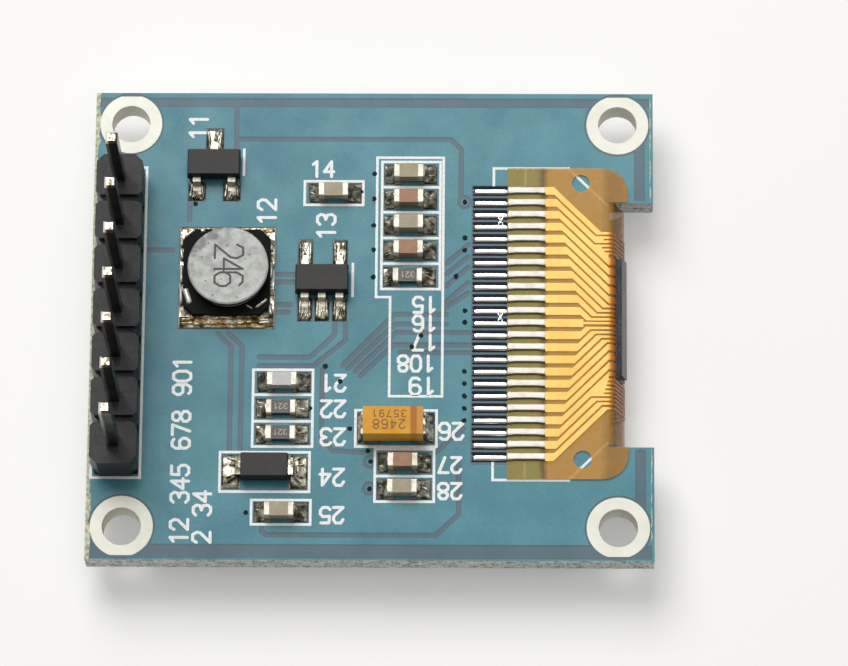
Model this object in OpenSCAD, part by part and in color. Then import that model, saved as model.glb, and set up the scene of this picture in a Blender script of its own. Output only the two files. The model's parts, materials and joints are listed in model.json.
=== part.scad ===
// Small display module, lying on its display face with the component side up.
// A circuit board carries a seven-pin header, a voltage supply and its passive parts. A thin
// glass panel is taped under the board, and its film tail folds up through a notch in the
// board's right edge and back over the board, where its fingers are soldered down.
// Millimetres, +Z is the component side, and the origin is the centre of the display's face.

/* [Circuit board] */
// Length of the board, along x
board_l = 31.1; // [30.9:0.1:31.6]
// Width of the board, along y
board_w = 27.0; // [26.9:0.1:27.6]
// Thickness of the board
board_t = 1.6; // [1.5:0.05:1.7]
// Width of the notch that the film tail passes through
notch_w = 14.12; // [14.1:0.02:14.4]
// Depth of the notch, from the board's right edge
notch_d = 2.45; // [2.3:0.05:2.5]

/* [Mounting holes] */
// Bore of each plated hole
mount_d = 2.15; // [2.0:0.05:2.3]
// Distance between hole centres, along x
mount_dx = 27.15; // [27:0.05:27.3]
// Distance between hole centres, along y
mount_dy = 23.3; // [23.2:0.05:23.5]
// Diameter of the bare metal land round each hole
land_d = 3.46; // [3.2:0.02:3.6]
// Wall of the plating in each hole
plating_t = 0.05; // [0.03:0.01:0.08]

/* [Pin header] */
// Number of pins
pin_count = 7; // [2:1:7]
// Distance between pins
pin_pitch = 2.54; // [2.54]
// Side of each square pin
pin_s = 0.64; // [0.6:0.01:0.66]
// Height of the pin tips above the board
pin_top = 9.0; // [6:0.1:9.5]
// Length of the pin tails below the board
pin_tail = 1.4; // [1:0.1:1.8]
// Place of the row, from the board's centre
pin_x = -13.98; // [-14.1:0.01:-13.9]
// Place of the first pin, along y
pin_y = 7.73; // [7.6:0.01:8.1]
// Chamfer at the corners of each lobe of the insulator
lobe_chamfer = 0.4; // [0.3:0.05:0.7]

/* [Display panel] */
// Length of the glass, along y
panel_l = 25.7; // [25.2:0.1:26.4]
// Width of the glass, along x
panel_w = 22.2; // [21.6:0.1:22.8]
// Place of the glass, along x
panel_x = 0.5; // [0.2:0.1:0.7]
// Thickness of the front polarising film
polariser_t = 0.2; // [0.15:0.01:0.25]
// Thickness of the front glass
front_glass_t = 0.55; // [0.5:0.01:0.7]
// Thickness of the rear cover glass
rear_glass_t = 0.7; // [0.5:0.01:0.8]
// Thickness of the foam tape between the glass and the board
tape_t = 0.65; // [0.5:0.01:0.9]
// Width of the ledge where the film tail is bonded to the front glass
ledge_w = 2.1; // [1.8:0.1:2.4]

/* [Film tail] */
// Thickness of the film
film_t = 0.1; // [0.08:0.01:0.12]
// Thickness of the copper on the film
copper_t = 0.02; // [0.01:0.005:0.03]
// Place of the tail's free edge, along x
tail_x = 7.47; // [7.4:0.01:7.6]
// Outer radius of the upper fold
fold_r = 0.4; // [0.38:0.01:0.45]
// Outer radius of the lower fold
lower_fold_r = 1.1; // [1:0.05:1.2]
// Lean of the flat face between the folds, from upright, in degrees
lean = 19; // [10:1:25]
// Number of solder fingers
finger_count = 23; // [23]
// Distance between solder fingers
finger_pitch = 0.7; // [0.7]

/* [Driver chip] */
// Length of the bare chip on the fold, along y
chip_l = 6.8; // [6.5:0.05:6.85]
// Width of the bare chip
chip_w = 0.86; // [0.7:0.01:0.9]
// Thickness of the bare chip
chip_t = 0.28; // [0.2:0.01:0.35]

/* [Chip capacitors and resistors] */
// Length of each chip part
part_l = 1.6; // [1.5:0.05:1.7]
// Width of each chip part
part_w = 0.8; // [0.7:0.05:0.85]
// Height of a capacitor
capacitor_h = 0.8; // [0.5:0.05:0.9]
// Height of a resistor
resistor_h = 0.45; // [0.4:0.05:0.55]
// Length of each metal end
part_end = 0.28; // [0.2:0.01:0.4]

/* [Hidden] */
$fn = 48;
eps = 0.01;

pin_hole_d = 1.0;

// Levels, upwards from the display's face
z_front_glass = polariser_t;
z_ledge = z_front_glass + front_glass_t;
z_tape = z_ledge + rear_glass_t;
z_board = z_tape + tape_t;
z_top = z_board + board_t;
pad_t = 0.04;
z_pad = z_top + pad_t;
z_film = z_pad + film_t;

// Fold of the film tail, seen from the side: [x, z] points on its outer face
fold_x = 13.07;
fold_c = [fold_x, z_film - fold_r];
lean_start = fold_c + fold_r * [cos(lean), sin(lean)];
lean_l = (lean_start[1] - z_ledge - lower_fold_r * (1 + sin(lean))) / cos(lean);
lean_end = lean_start + lean_l * [sin(lean), -cos(lean)];
lower_c = lean_end - lower_fold_r * [cos(lean), sin(lean)];
bond_x = panel_x + panel_w / 2 - ledge_w + 0.3;
copper_end_x = panel_x + panel_w / 2 + 0.02;

// Outline of the film tail on the board
tail_top = 9.07;
tail_bottom = -8.91;
neck = [-6.95, 7.03];
ear_x = 14.16;
ear_r = 1.45;
registration_d = 1.0;
registration_at = [[11.54, 8.18], [11.63, -7.79]];

// Fingers and the traces that run from them over the fold
finger_y = 7.73;
bar_x = 9.57;
bar_w = 0.45;
slant_w = 0.285;
turn_x = 10.05;
turn_step = 0.145;
line_w = 0.14;
// How far each trace reaches at the fold: [outer, inner] distance from the middle line,
// where 0 means that the trace is still slanting there
upper_ends = [[5.32, 5.18], [5.08, 4.69], [4.59, 0], [0, 0], [0, 0], [0, 0], [0, 0],
              [1.07, 0.93], [0.82, 0.68], [0.57, 0.43], [0.32, 0.18]];
lower_ends = [[4.94, 4.8], [4.67, 4.53], [4.43, 4.29], [4.18, 0], [0, 0], [0, 0], [1.32, 1.18],
              [1.07, 0.93], [0.82, 0.68], [0.57, 0.43], [0.32, 0.18]];
// Lines that pass the chip's ends and run on to the glass, and the slits that part them
passing_lines = [5.25, 5.0, 4.77, 4.52, 4.3, 4.08,
                 -3.22, -3.44, -3.67, -3.9, -4.12, -4.36, -4.6, -4.87];
slits = [[4.885, 12.8], [4.41, 12.7], [4.19, 12.85],
         [-4.01, 12.8], [-3.785, 12.88], [-3.555, 12.95], [-3.33, 13.0]];

// Driver chip, in the leaning face's own frame
chip_y = 0.48;
underfill = [0.06, chip_l + 0.24, 1.1];
chip_drop = 0.55;

// Solder bars on the board in front of the tail
bar_pad = [5.53, tail_x];
bar_pad_w = 0.43;
bar_pad_h = 0.13;
bridge_x = 7.09;

// Chip parts, [x, y] of each
capacitor_at = [[-2.2, 7.6], [1.98, 8.7], [1.98, 7.22], [1.98, 5.73], [1.98, 4.24],
                [-4.9, -3.4], [1.78, -8.0], [1.76, -9.5], [-4.95, -10.82]];
resistor_at = [[1.95, 2.72], [-4.95, -4.9], [-4.95, -6.38]];
part_pad = [0.94, 1.1];
part_pad_x = 0.99;
part_pad_shift = 0.09;

// Packages with formed leads: body size, place, and the x of the leads on each side
transistor_at = [-8.87, 9.09];
transistor_size = [2.95, 1.58, 1.1];
transistor_upper = [0];
transistor_lower = [-0.95, 0.99];
transistor_pads = [1.38, 1.05];
transistor_pad_w = 0.95;
regulator_at = [-2.77, 2.37];
regulator_size = [2.95, 1.6, 1.12];
regulator_upper = [-0.95, 0.97];
regulator_lower = [-0.95, 0, 0.97];
regulator_pads = [1.55, 1.31];
regulator_pad_w = 0.78;
lead_w = 0.42;
lead_t = 0.13;
lead_z = 0.52;
lead_reach = 0.62;
stand_off = 0.06;
lead_pad_gap = 0.1;

// Diode, along x
diode_at = [-5.79, -8.38];
diode_size = [2.62, 1.42, 1.1];
diode_lead = [0.95, 0.55];
diode_pad = [1.0, 1.9, pad_t];
diode_pad_x = 1.85;
diode_pad_y = -8.53;

// Moulded tantalum capacitor, along x
tantalum_at = [1.25, -6.01];
tantalum_size = [3.3, 1.68, 1.62];
tantalum_tab = [0.12, 1.2, 0.95];
tantalum_pad = [1.2, 1.7, pad_t];
tantalum_pad_at = [1.385, -6.01];
tantalum_pad_x = 1.5;

// Power inductor
inductor_at = [-8.04, 2.75];
shell_size = [4.8, 4.9, 0.6];
shell_cut = 0.55;
drum_at = [-7.92, 2.75];
seat_d = 4.3;
seat_depth = 0.2;
drum_d = 4.46;
drum_foot_d = 4.2;
drum_top = 1.92;
flange_t = 0.36;
drum_stem_d = 2.2;
winding_d = 3.9;
terminal_t = 0.22;
drum_low = z_pad + terminal_t + shell_size[2] - seat_depth;
terminal_size = [5.2, 2.0, terminal_t];
terminal_y = 1.45;
inductor_pads = [[0.8, 2.2], [4.52, 2.05]];
inductor_pad_w = 5.3;

// Solder beside the parts: [width, run, rise] of each fillet, and for leads [pad left bare, rise]
capacitor_fillet = [1.0, 0.55, 0.5];
resistor_fillet = [1.0, 0.55, 0.32];
lead_fillet = [0.12, 0.12];
diode_fillet = [1.4, 0.42, 0.12];
tantalum_fillet = [1.4, 0.18, 0.4];
inductor_fillets = [[5.2, 0.26, 0.2], [5.2, 0.56, 0.42]];

// White print on the board: frames as [left, right, y of each cross line], lines as points
ink_w = 0.145;
ink_t = 0.035;
ink_frames = [
    [-3.82, -0.56, [8.3, 6.91]],
    [0.49, 3.73, [9.45, 7.96, 6.49, 4.98, 3.49, 2.01]],
    [-6.5, -3.21, [-2.68, -4.12, -5.64, -7.09]],
    [-8.25, -3.34, [-7.41, -9.66]],
    [-6.49, -3.25, [-10.13, -11.51]],
    [-0.84, 3.61, [-4.99, -7.07]],
    [0.25, 3.49, [-7.21, -8.75, -10.2]]];
ink_lines = [
    [[0.21, 9.7], [0.21, 1.54], [0.99, 1.54], [0.99, -4.18], [3.9, -4.18], [3.9, 9.7], [0.21, 9.7]],
    [[-15.33, 8.4], [-15.33, 9.08], [-12.63, 9.08], [-12.63, -8.89], [-15.33, -8.89], [-15.33, -8.3]],
    [[-7.23, 10.14], [-7.23, 8.68]],
    [[-1.09, 3.46], [-1.09, 1.61]],
    [[-10.61, 2.14], [-10.61, 3.31]],
    [[-5.51, 2.14], [-5.51, 3.31]],
    [[8.45, 9.08], [8.45, 8.12]],
    [[8.45, -8.03], [8.45, -8.95]],
    [[6.7, 8.1], [6.7, 9.08], [10.85, 9.08], [12.95, 6.98]],
    [[6.7, -8.0], [6.7, -8.95], [10.85, -8.95], [12.95, -6.85]]];

// ---- Shapes that repeat ----

// A block of the given size, centred on a place and standing on level z
module block(at, size, z) {
    translate([at[0] - size[0] / 2, at[1] - size[1] / 2, z]) cube(size);
}

// A side view in x and z, drawn along y between two places
module along_y(y0, y1) {
    translate([0, y1, 0]) rotate([90, 0, 0]) linear_extrude(y1 - y0) children();
}

// Children at the corners of the mounting pattern
module at_mounts() {
    for (x = [-1, 1], y = [-1, 1]) translate([x * mount_dx / 2, y * mount_dy / 2, 0]) children();
}

// A low rounded bar of solder along x, lying on level z
module solder_bar(x0, x1, y, w, h, z) {
    r = (w * w / 4 + h * h) / (2 * h);
    intersection() {
        translate([x0, y, z + h - r]) rotate([0, 90, 0]) cylinder(r = r, h = x1 - x0);
        translate([x0, y - w / 2, z]) cube([x1 - x0, w, h]);
    }
}

// A concave fillet of solder that falls away from a standing face along +x
module fillet(w, run, rise) {
    hollow = 0.94;
    translate([0, w / 2, 0]) rotate([90, 0, 0]) linear_extrude(w) difference() {
        square([run, rise]);
        translate([run, rise]) scale([run / rise, 1]) circle(r = rise * hollow);
    }
}

function arc(c, r, a0, a1, n) = [for (i = [0:n]) let (a = a0 + (a1 - a0) * i / n) c + r * [cos(a), sin(a)]];

// Line that follows the film round its folds, at a distance outside the film's outer face
function upper_fold(off) = arc(fold_c, fold_r + off, 90, lean, 6);
function lower_fold(off) = arc(lower_c, lower_fold_r + off, lean, -90, 9);
function whole_fold(off, x_top, x_bottom) = concat(
    [[x_top, z_film + off]], upper_fold(off), lower_fold(off), [[x_bottom, z_ledge - off]]);
function reversed(list) = [for (i = [len(list) - 1:-1:0]) list[i]];
module fold_strip(outer, inner) { polygon(concat(outer, reversed(inner))); }

// ---- Board ----

module circuit_board() {
    color("steelblue") difference() {
        block([0, 0], [board_l, board_w, board_t], z_board);
        translate([board_l / 2 - notch_d, -notch_w / 2, z_board - 1])
            cube([notch_d + 1, notch_w, board_t + 2]);
        at_mounts() translate([0, 0, z_board - 1]) cylinder(d = mount_d + 2 * plating_t, h = board_t + 2);
        for (i = [0:pin_count - 1])
            translate([pin_x, pin_y - i * pin_pitch, z_board - 1]) cylinder(d = pin_hole_d, h = board_t + 2);
    }
}

// Plated holes, each with a land on both faces that is trimmed near the board's edges
module mounting_lands() {
    land_t = 0.035;
    margin = 0.22;
    color("white") difference() {
        intersection() {
            at_mounts() {
                translate([0, 0, z_top]) cylinder(d = land_d, h = land_t);
                translate([0, 0, z_board - land_t]) cylinder(d = land_d, h = land_t);
                translate([0, 0, z_board]) cylinder(d = mount_d + 2 * plating_t, h = board_t);
            }
            block([0, 0], [board_l - 2 * margin, board_w - 2 * margin, board_t + 1], z_board - 0.5);
        }
        at_mounts() translate([0, 0, z_board - 1]) cylinder(d = mount_d, h = board_t + 2);
    }
}

// ---- Header ----

module lobe() {
    s = pin_pitch / 2;
    c = s - lobe_chamfer;
    polygon([[s, -c], [s, c], [c, s], [-c, s], [-s, c], [-s, -c], [-c, -s], [c, -s]]);
}

module header_insulator() {
    groove = [pin_pitch + 1, 0.4, 0.45];
    color([0.16, 0.16, 0.17]) difference() {
        for (i = [0:pin_count - 1])
            translate([pin_x, pin_y - i * pin_pitch, z_top]) linear_extrude(pin_pitch) lobe();
        for (i = [0:pin_count - 1])
            block([pin_x, pin_y - i * pin_pitch], [pin_s, pin_s, pin_pitch + 2], z_top - 1);
        for (i = [0:pin_count - 2])
            block([pin_x, pin_y - (i + 0.5) * pin_pitch], groove, z_top + pin_pitch - groove[2] + eps);
    }
}

module header_pin(i) {
    low = z_board - pin_tail;
    high = z_top + pin_top;
    tip = 0.2;
    at = [pin_x, pin_y - (i - 1) * pin_pitch];
    color([0.9, 0.86, 0.7]) hull() {
        block(at, [pin_s, pin_s, high - low - 2 * tip], low + tip);
        block(at, [pin_s * 0.66, pin_s * 0.66, high - low], low);
    }
}

// A cone of solder round each tail, and the solder that fills its hole
module header_solder_joints() {
    color("silver") for (i = [0:pin_count - 1]) translate([pin_x, pin_y - i * pin_pitch, 0]) difference() {
        union() {
            translate([0, 0, z_board]) cylinder(d = pin_hole_d, h = board_t);
            translate([0, 0, z_board - 0.8]) cylinder(d1 = 0.95, d2 = 1.75, h = 0.8);
        }
        block([0, 0], [pin_s, pin_s, board_t + 4], z_board - 2);
    }
}

// ---- Film tail ----

function tail_outline() = concat(
    [[tail_x, tail_bottom]],
    arc([ear_x - ear_r, tail_bottom + ear_r], ear_r, -90, 0, 8),
    [[ear_x, neck[0] - 0.13], [fold_x, neck[0] - 0.13], [fold_x, neck[1] + 0.05], [ear_x, neck[1] + 0.05]],
    arc([ear_x - ear_r, tail_top - ear_r], ear_r, 0, 90, 8),
    [[tail_x, tail_top]]);

// The film lies on the board, folds down through the notch and ends on the glass ledge
module film_tail() {
    color([0.72, 0.5, 0.24]) difference() {
        union() {
            translate([0, 0, z_film - film_t]) linear_extrude(film_t) polygon(tail_outline());
            along_y(neck[0], neck[1])
                fold_strip(whole_fold(0, fold_x - 1, bond_x), whole_fold(-film_t, fold_x - 1, bond_x));
        }
        for (at = registration_at)
            translate([at[0], at[1], z_top]) cylinder(d = registration_d, h = 1);
    }
}

// Outline of the k-th trace from the outside: a wide bar, a 45 degree slant, then a narrow line
module trace_outline(y, k, end) {
    slant = y + turn_x + k * turn_step;
    half = slant_w / sqrt(2);
    outer = max(end[0], slant + half - fold_x);
    inner = max(end[1], slant - half - fold_x);
    outer_turn = slant + half - outer < fold_x - eps ? [[slant + half - outer, outer]] : [];
    inner_turn = slant - half - inner < fold_x - eps ? [[slant - half - inner, inner]] : [];
    polygon(concat(
        [[bar_x, y + bar_w / 2], [slant + half - y - bar_w / 2, y + bar_w / 2]],
        outer_turn,
        [[fold_x, outer], [fold_x, inner]],
        inner_turn,
        [[slant - half - y + bar_w / 2, y - bar_w / 2], [bar_x, y - bar_w / 2]]));
}

// Reach of the k-th trace at the fold, as [inner, outer] distance from the middle line
function reach(y, k, end) = let (slant = y + turn_x + k * turn_step, half = slant_w / sqrt(2))
    [max(end[1], slant - half - fold_x), max(end[0], slant + half - fold_x)];

// A strip of copper round the upper fold, up to the driver chip
module to_chip(y0, y1) {
    along_y(y0, y1) fold_strip(upper_fold(copper_t), upper_fold(0));
}

module film_traces() {
    half_count = (finger_count - 1) / 2;
    last_y = (finger_count - 1) * finger_pitch - finger_y;
    color([0.98, 0.82, 0.38]) {
        translate([0, 0, z_film]) linear_extrude(copper_t) difference() {
            union() {
                for (k = [0:half_count - 1]) {
                    trace_outline(finger_y - k * finger_pitch, k, upper_ends[k]);
                    mirror([0, 1]) trace_outline(last_y - k * finger_pitch, k, lower_ends[k]);
                }
                middle = finger_y - half_count * finger_pitch;
                translate([bar_x, middle - bar_w / 2]) square([2.1, bar_w]);
                translate([bar_x + 2, middle - line_w / 2]) square([fold_x - bar_x - 2, line_w]);
            }
            for (s = slits) translate([s[1], s[0] - 0.05]) square([1, 0.1]);
        }
        for (k = [3:half_count - 1]) {
            up = reach(finger_y - k * finger_pitch, k, upper_ends[k]);
            to_chip(up[0], up[1]);
        }
        for (k = [4:half_count - 1]) {
            down = reach(last_y - k * finger_pitch, k, lower_ends[k]);
            to_chip(-down[1], -down[0]);
        }
        to_chip(-0.04, 0.1);
        to_chip(3.42, 3.84);
        to_chip(-3.0, -2.78);
        for (y = passing_lines) along_y(y - line_w / 2 + 0.01, y + line_w / 2 - 0.01)
            fold_strip(whole_fold(copper_t, fold_x, copper_end_x), whole_fold(0, fold_x, copper_end_x));
        chip_foot = lean_start + 1.14 * [sin(lean), -cos(lean)];
        for (i = [0:11]) along_y(chip_y - 3.25 + i * 0.57, chip_y - 3.02 + i * 0.57)
            fold_strip(
                concat([chip_foot + copper_t * [cos(lean), sin(lean)]], lower_fold(copper_t),
                       [[copper_end_x, z_ledge - copper_t]]),
                concat([chip_foot], lower_fold(0), [[copper_end_x, z_ledge]]));
    }
}

// Tinned fingers on the tail, where it is soldered down
module film_fingers() {
    color([0.9, 0.88, 0.8]) for (i = [0:finger_count - 1])
        solder_bar(tail_x + 0.02, bar_x, finger_y - i * finger_pitch, 0.36, 0.05, z_film);
}

// Solder bars on the board in front of the tail, their pads under it, and two bridges
module finger_solder_bars() {
    color("silver") {
        for (i = [0:finger_count - 1]) {
            y = finger_y - i * finger_pitch;
            solder_bar(bar_pad[0], bar_pad[1], y, bar_pad_w, bar_pad_h, z_top);
            block([(tail_x + bar_x) / 2, y], [bar_x - tail_x, bar_pad_w, pad_t], z_top);
        }
        for (i = [2, 10])
            block([bridge_x, finger_y - (i + 0.5) * finger_pitch], [0.2, finger_pitch - 0.2, 0.06], z_top);
    }
}

// ---- Driver chip on the fold ----

// Places children on the leaning face: x outwards, z up along it, and y along the fold
module on_lean() {
    translate([lean_start[0], chip_y, lean_start[1]]) rotate([0, -lean, 0]) children();
}

module driver_chip() {
    color([0.16, 0.18, 0.22]) on_lean()
        translate([underfill[0], -chip_l / 2, -chip_drop - chip_w / 2]) cube([chip_t, chip_l, chip_w]);
}

module chip_underfill() {
    color([0.12, 0.07, 0.06]) on_lean()
        translate([0, -underfill[1] / 2, -chip_drop - underfill[2] / 2]) cube(underfill);
}

// ---- Display panel ----

module front_polariser() {
    color([0.08, 0.08, 0.1])
        block([panel_x - 0.6, 0], [panel_w - 2.4, panel_l - 1.2, polariser_t], 0);
}

module front_glass() {
    color([0.25, 0.28, 0.3]) block([panel_x, 0], [panel_w, panel_l, front_glass_t], z_front_glass);
}

module rear_glass() {
    color([0.3, 0.32, 0.34])
        block([panel_x - ledge_w / 2, 0], [panel_w - ledge_w, panel_l, rear_glass_t], z_ledge);
}

module foam_tape() {
    color([0.2, 0.2, 0.2])
        block([panel_x - ledge_w / 2, 0], [panel_w - ledge_w - 1, panel_l - 1.4, tape_t], z_tape);
}

// ---- Moulded packages ----

// A moulded body whose sides draw in above and below the level where its leads leave
module moulded_body(at, size, z_lead, draw) {
    hull() {
        block(at, [size[0], size[1], lead_t], z_pad + z_lead);
        block(at, [size[0] - draw, size[1] - draw, size[2] - stand_off], z_pad + stand_off);
    }
}

// A formed lead that leaves a body along +x at z_lead, drops and ends in a flat foot
module formed_lead(w, z_lead, out) {
    knee = 0.16;
    drop = 0.16;
    translate([0, w / 2, z_pad]) rotate([90, 0, 0]) linear_extrude(w) polygon([
        [0, z_lead], [knee, z_lead], [knee + drop - 0.06, 0], [out, 0], [out, lead_t],
        [knee + drop + 0.04, lead_t], [knee + 0.1, z_lead + lead_t], [0, z_lead + lead_t]]);
}

// Leads of a package whose rows run along x: one row above the body and one below
module two_rows(at, size, upper, lower) {
    for (x = upper) translate([at[0] + x, at[1] + size[1] / 2, 0]) rotate([0, 0, 90])
        formed_lead(lead_w, lead_z, lead_reach);
    for (x = lower) translate([at[0] + x, at[1] - size[1] / 2, 0]) rotate([0, 0, -90])
        formed_lead(lead_w, lead_z, lead_reach);
}

module transistor_body() {
    color([0.22, 0.21, 0.21]) moulded_body(transistor_at, transistor_size, lead_z, 0.16);
}
module transistor_leads() {
    color("silver") two_rows(transistor_at, transistor_size, transistor_upper, transistor_lower);
}

module regulator_body() {
    color([0.22, 0.21, 0.21]) moulded_body(regulator_at, regulator_size, lead_z, 0.16);
}
module regulator_leads() {
    color("silver") two_rows(regulator_at, regulator_size, regulator_upper, regulator_lower);
}

module diode_body() { color([0.2, 0.2, 0.2]) moulded_body(diode_at, diode_size, lead_z, 0.14); }
module diode_leads() {
    color("silver") for (side = [0, 180]) translate([diode_at[0], diode_at[1], 0]) rotate([0, 0, side])
        translate([diode_size[0] / 2, 0, 0]) formed_lead(diode_lead[0], lead_z, diode_lead[1]);
}

// Tantalum capacitor: a moulded block between two folded tabs
module tantalum_body() {
    size = tantalum_size;
    foot = 0.12;
    color([0.85, 0.6, 0.25]) hull() {
        block(tantalum_at, [size[0], size[1], 0.1], z_pad + size[2] / 2);
        block(tantalum_at, [size[0], size[1] - 0.12, size[2] - foot], z_pad + foot);
    }
}

module tantalum_terminals() {
    foot = [0.8, tantalum_tab[1], 0.12];
    color("silver") for (side = [-1, 1]) {
        block([tantalum_at[0] + side * (tantalum_size[0] / 2 + tantalum_tab[0] / 2), tantalum_at[1]],
              tantalum_tab, z_pad);
        block([tantalum_at[0] + side * (tantalum_size[0] - foot[0]) / 2, tantalum_at[1]], foot, z_pad);
    }
}

// ---- Inductor ----

module shell_outline() {
    x = shell_size[0] / 2;
    y = shell_size[1] / 2;
    c = shell_cut;
    polygon([[x, c - y], [x, y - c], [x - c, y], [c - x, y],
             [-x, y - c], [-x, c - y], [c - x, -y], [x - c, -y]]);
}

// Low moulded shell with cut corners and a round seat for the drum
module inductor_shell() {
    low = z_pad + terminal_t;
    seat = low + shell_size[2] - seat_depth;
    color([0.1, 0.1, 0.1]) difference() {
        translate([inductor_at[0], inductor_at[1], low]) linear_extrude(shell_size[2]) shell_outline();
        translate([drum_at[0], drum_at[1], seat]) cylinder(d = seat_d, h = seat_depth + 1);
    }
}

// Ferrite drum: two flanges on a stem
module inductor_drum() {
    high = z_top + drum_top;
    edge = 0.08;
    color([0.62, 0.62, 0.62]) translate([drum_at[0], drum_at[1], 0]) rotate_extrude() polygon([
        [0, drum_low], [drum_foot_d / 2, drum_low], [drum_foot_d / 2, drum_low + flange_t],
        [drum_stem_d / 2, drum_low + flange_t], [drum_stem_d / 2, high - flange_t],
        [drum_d / 2, high - flange_t], [drum_d / 2, high - edge], [drum_d / 2 - edge, high], [0, high]]);
}

module inductor_winding() {
    low = drum_low + flange_t;
    high = z_top + drum_top - flange_t;
    color("peru") translate([drum_at[0], drum_at[1], low]) difference() {
        cylinder(d = winding_d, h = high - low);
        translate([0, 0, -1]) cylinder(d = drum_stem_d, h = high - low + 2);
    }
}

module inductor_terminals() {
    color("silver") for (side = [-1, 1])
        block([inductor_at[0], inductor_at[1] + side * terminal_y], terminal_size, z_pad);
}

// ---- Chip parts ----

// The ceramic between the two metal ends of a chip part
module chip_middle(at, h) {
    inset = 0.03;
    block(at, [part_l - 2 * part_end, part_w - inset, h - inset], z_pad + inset / 2);
}

// Metal ends with rounded corners
module chip_ends(at, h) {
    r = 0.07;
    for (side = [-1, 1]) translate([at[0] + side * (part_l - part_end) / 2, at[1], z_pad])
        rotate([90, 0, 90]) translate([0, h / 2, -part_end / 2]) linear_extrude(part_end) {
            square([part_w, h - 2 * r], center = true);
            square([part_w - 2 * r, h], center = true);
            for (x = [-1, 1], y = [-1, 1])
                translate([x * (part_w / 2 - r), y * (h / 2 - r)]) circle(r = r, $fn = 24);
        }
}

module capacitor_body(i) {
    tints = [[0.66, 0.62, 0.52], [0.62, 0.48, 0.36], [0.7, 0.7, 0.7]];
    tint = [0, 0, 1, 0, 1, 2, 1, 0, 0][i - 1];
    color(tints[tint]) chip_middle(capacitor_at[i - 1], capacitor_h);
}
module capacitor_ends(i) { color("silver") chip_ends(capacitor_at[i - 1], capacitor_h); }
module resistor_body(i) { color([0.2, 0.19, 0.18]) chip_middle(resistor_at[i - 1], resistor_h); }
module resistor_ends(i) { color("silver") chip_ends(resistor_at[i - 1], resistor_h); }

// ---- Pads and solder under and beside the parts ----

// Pads of two rows of leads, with the length of the upper and of the lower row's pads
module pads_of_leads(at, size, upper, lower, lengths, width) {
    near = size[1] / 2 + lead_pad_gap;
    for (x = upper)
        block([at[0] + x, at[1] + near + lengths[0] / 2], [width, lengths[0], pad_t], z_top);
    for (x = lower)
        block([at[0] + x, at[1] - near - lengths[1] / 2], [width, lengths[1], pad_t], z_top);
}

module component_pads() {
    color("silver") {
        for (at = concat(capacitor_at, resistor_at), side = [-1, 1])
            block([at[0] + part_pad_shift + side * part_pad_x, at[1]], [part_pad[0], part_pad[1], pad_t], z_top);
        pads_of_leads(transistor_at, transistor_size, transistor_upper, transistor_lower, transistor_pads,
            transistor_pad_w);
        pads_of_leads(regulator_at, regulator_size, regulator_upper, regulator_lower, regulator_pads,
            regulator_pad_w);
        for (side = [-1, 1]) {
            block([diode_at[0] + side * diode_pad_x, diode_pad_y], diode_pad, z_top);
            block([tantalum_pad_at[0] + side * tantalum_pad_x, tantalum_pad_at[1]], tantalum_pad, z_top);
        }
        for (pad = inductor_pads)
            block([inductor_at[0], pad[0]], [inductor_pad_w, pad[1], pad_t], z_top);
    }
}

// Fillets at both ends of a part, which lie out from its middle along x
module end_fillets(at, out, size) {
    for (side = [0, 180]) translate([at[0], at[1], z_pad]) rotate([0, 0, side])
        translate([out, 0, 0]) fillet(size[0], size[1], size[2]);
}

// Solder from the tip of each foot to the end of its pad
module lead_fillets(at, size, upper, lower, lengths, width) {
    out = size[1] / 2 + lead_reach;
    run = [for (l = lengths) lead_pad_gap + l - lead_reach - 0.05];
    for (x = upper) translate([at[0] + x, at[1] + out, z_pad]) rotate([0, 0, 90])
        fillet(width - lead_fillet[0], run[0], lead_fillet[1]);
    for (x = lower) translate([at[0] + x, at[1] - out, z_pad]) rotate([0, 0, -90])
        fillet(width - lead_fillet[0], run[1], lead_fillet[1]);
}

module solder_fillets() {
    color([0.8, 0.8, 0.78]) {
        for (at = capacitor_at) end_fillets(at, part_l / 2, capacitor_fillet);
        for (at = resistor_at) end_fillets(at, part_l / 2, resistor_fillet);
        lead_fillets(transistor_at, transistor_size, transistor_upper, transistor_lower, transistor_pads,
            transistor_pad_w);
        lead_fillets(regulator_at, regulator_size, regulator_upper, regulator_lower, regulator_pads,
            regulator_pad_w);
        end_fillets(diode_at, diode_size[0] / 2 + diode_lead[1], diode_fillet);
        end_fillets(tantalum_at, tantalum_size[0] / 2 + tantalum_tab[0], tantalum_fillet);
        for (i = [0, 1]) translate([inductor_at[0], inductor_at[1], z_pad]) rotate([0, 0, 90 - 180 * i])
            translate([terminal_y + terminal_size[1] / 2, 0, 0])
                fillet(inductor_fillets[i][0], inductor_fillets[i][1], inductor_fillets[i][2]);
    }
}

// ---- White print ----

module ink_line(a, b) {
    run = b - a;
    translate(a) rotate(atan2(run[1], run[0])) translate([-ink_w / 2, -ink_w / 2])
        square([norm(run) + ink_w, ink_w]);
}

// Frames round the parts, and the lines beside the header and the tail
module printed_lines() {
    color("white") translate([0, 0, z_top]) linear_extrude(ink_t) {
        for (f = ink_frames) {
            for (y = f[2]) ink_line([f[0], y], [f[1], y]);
            for (x = [f[0], f[1]]) ink_line([x, f[2][0]], [x, f[2][len(f[2]) - 1]]);
        }
        for (l = ink_lines, i = [1:len(l) - 1]) ink_line(l[i - 1], l[i]);
    }
}

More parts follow.
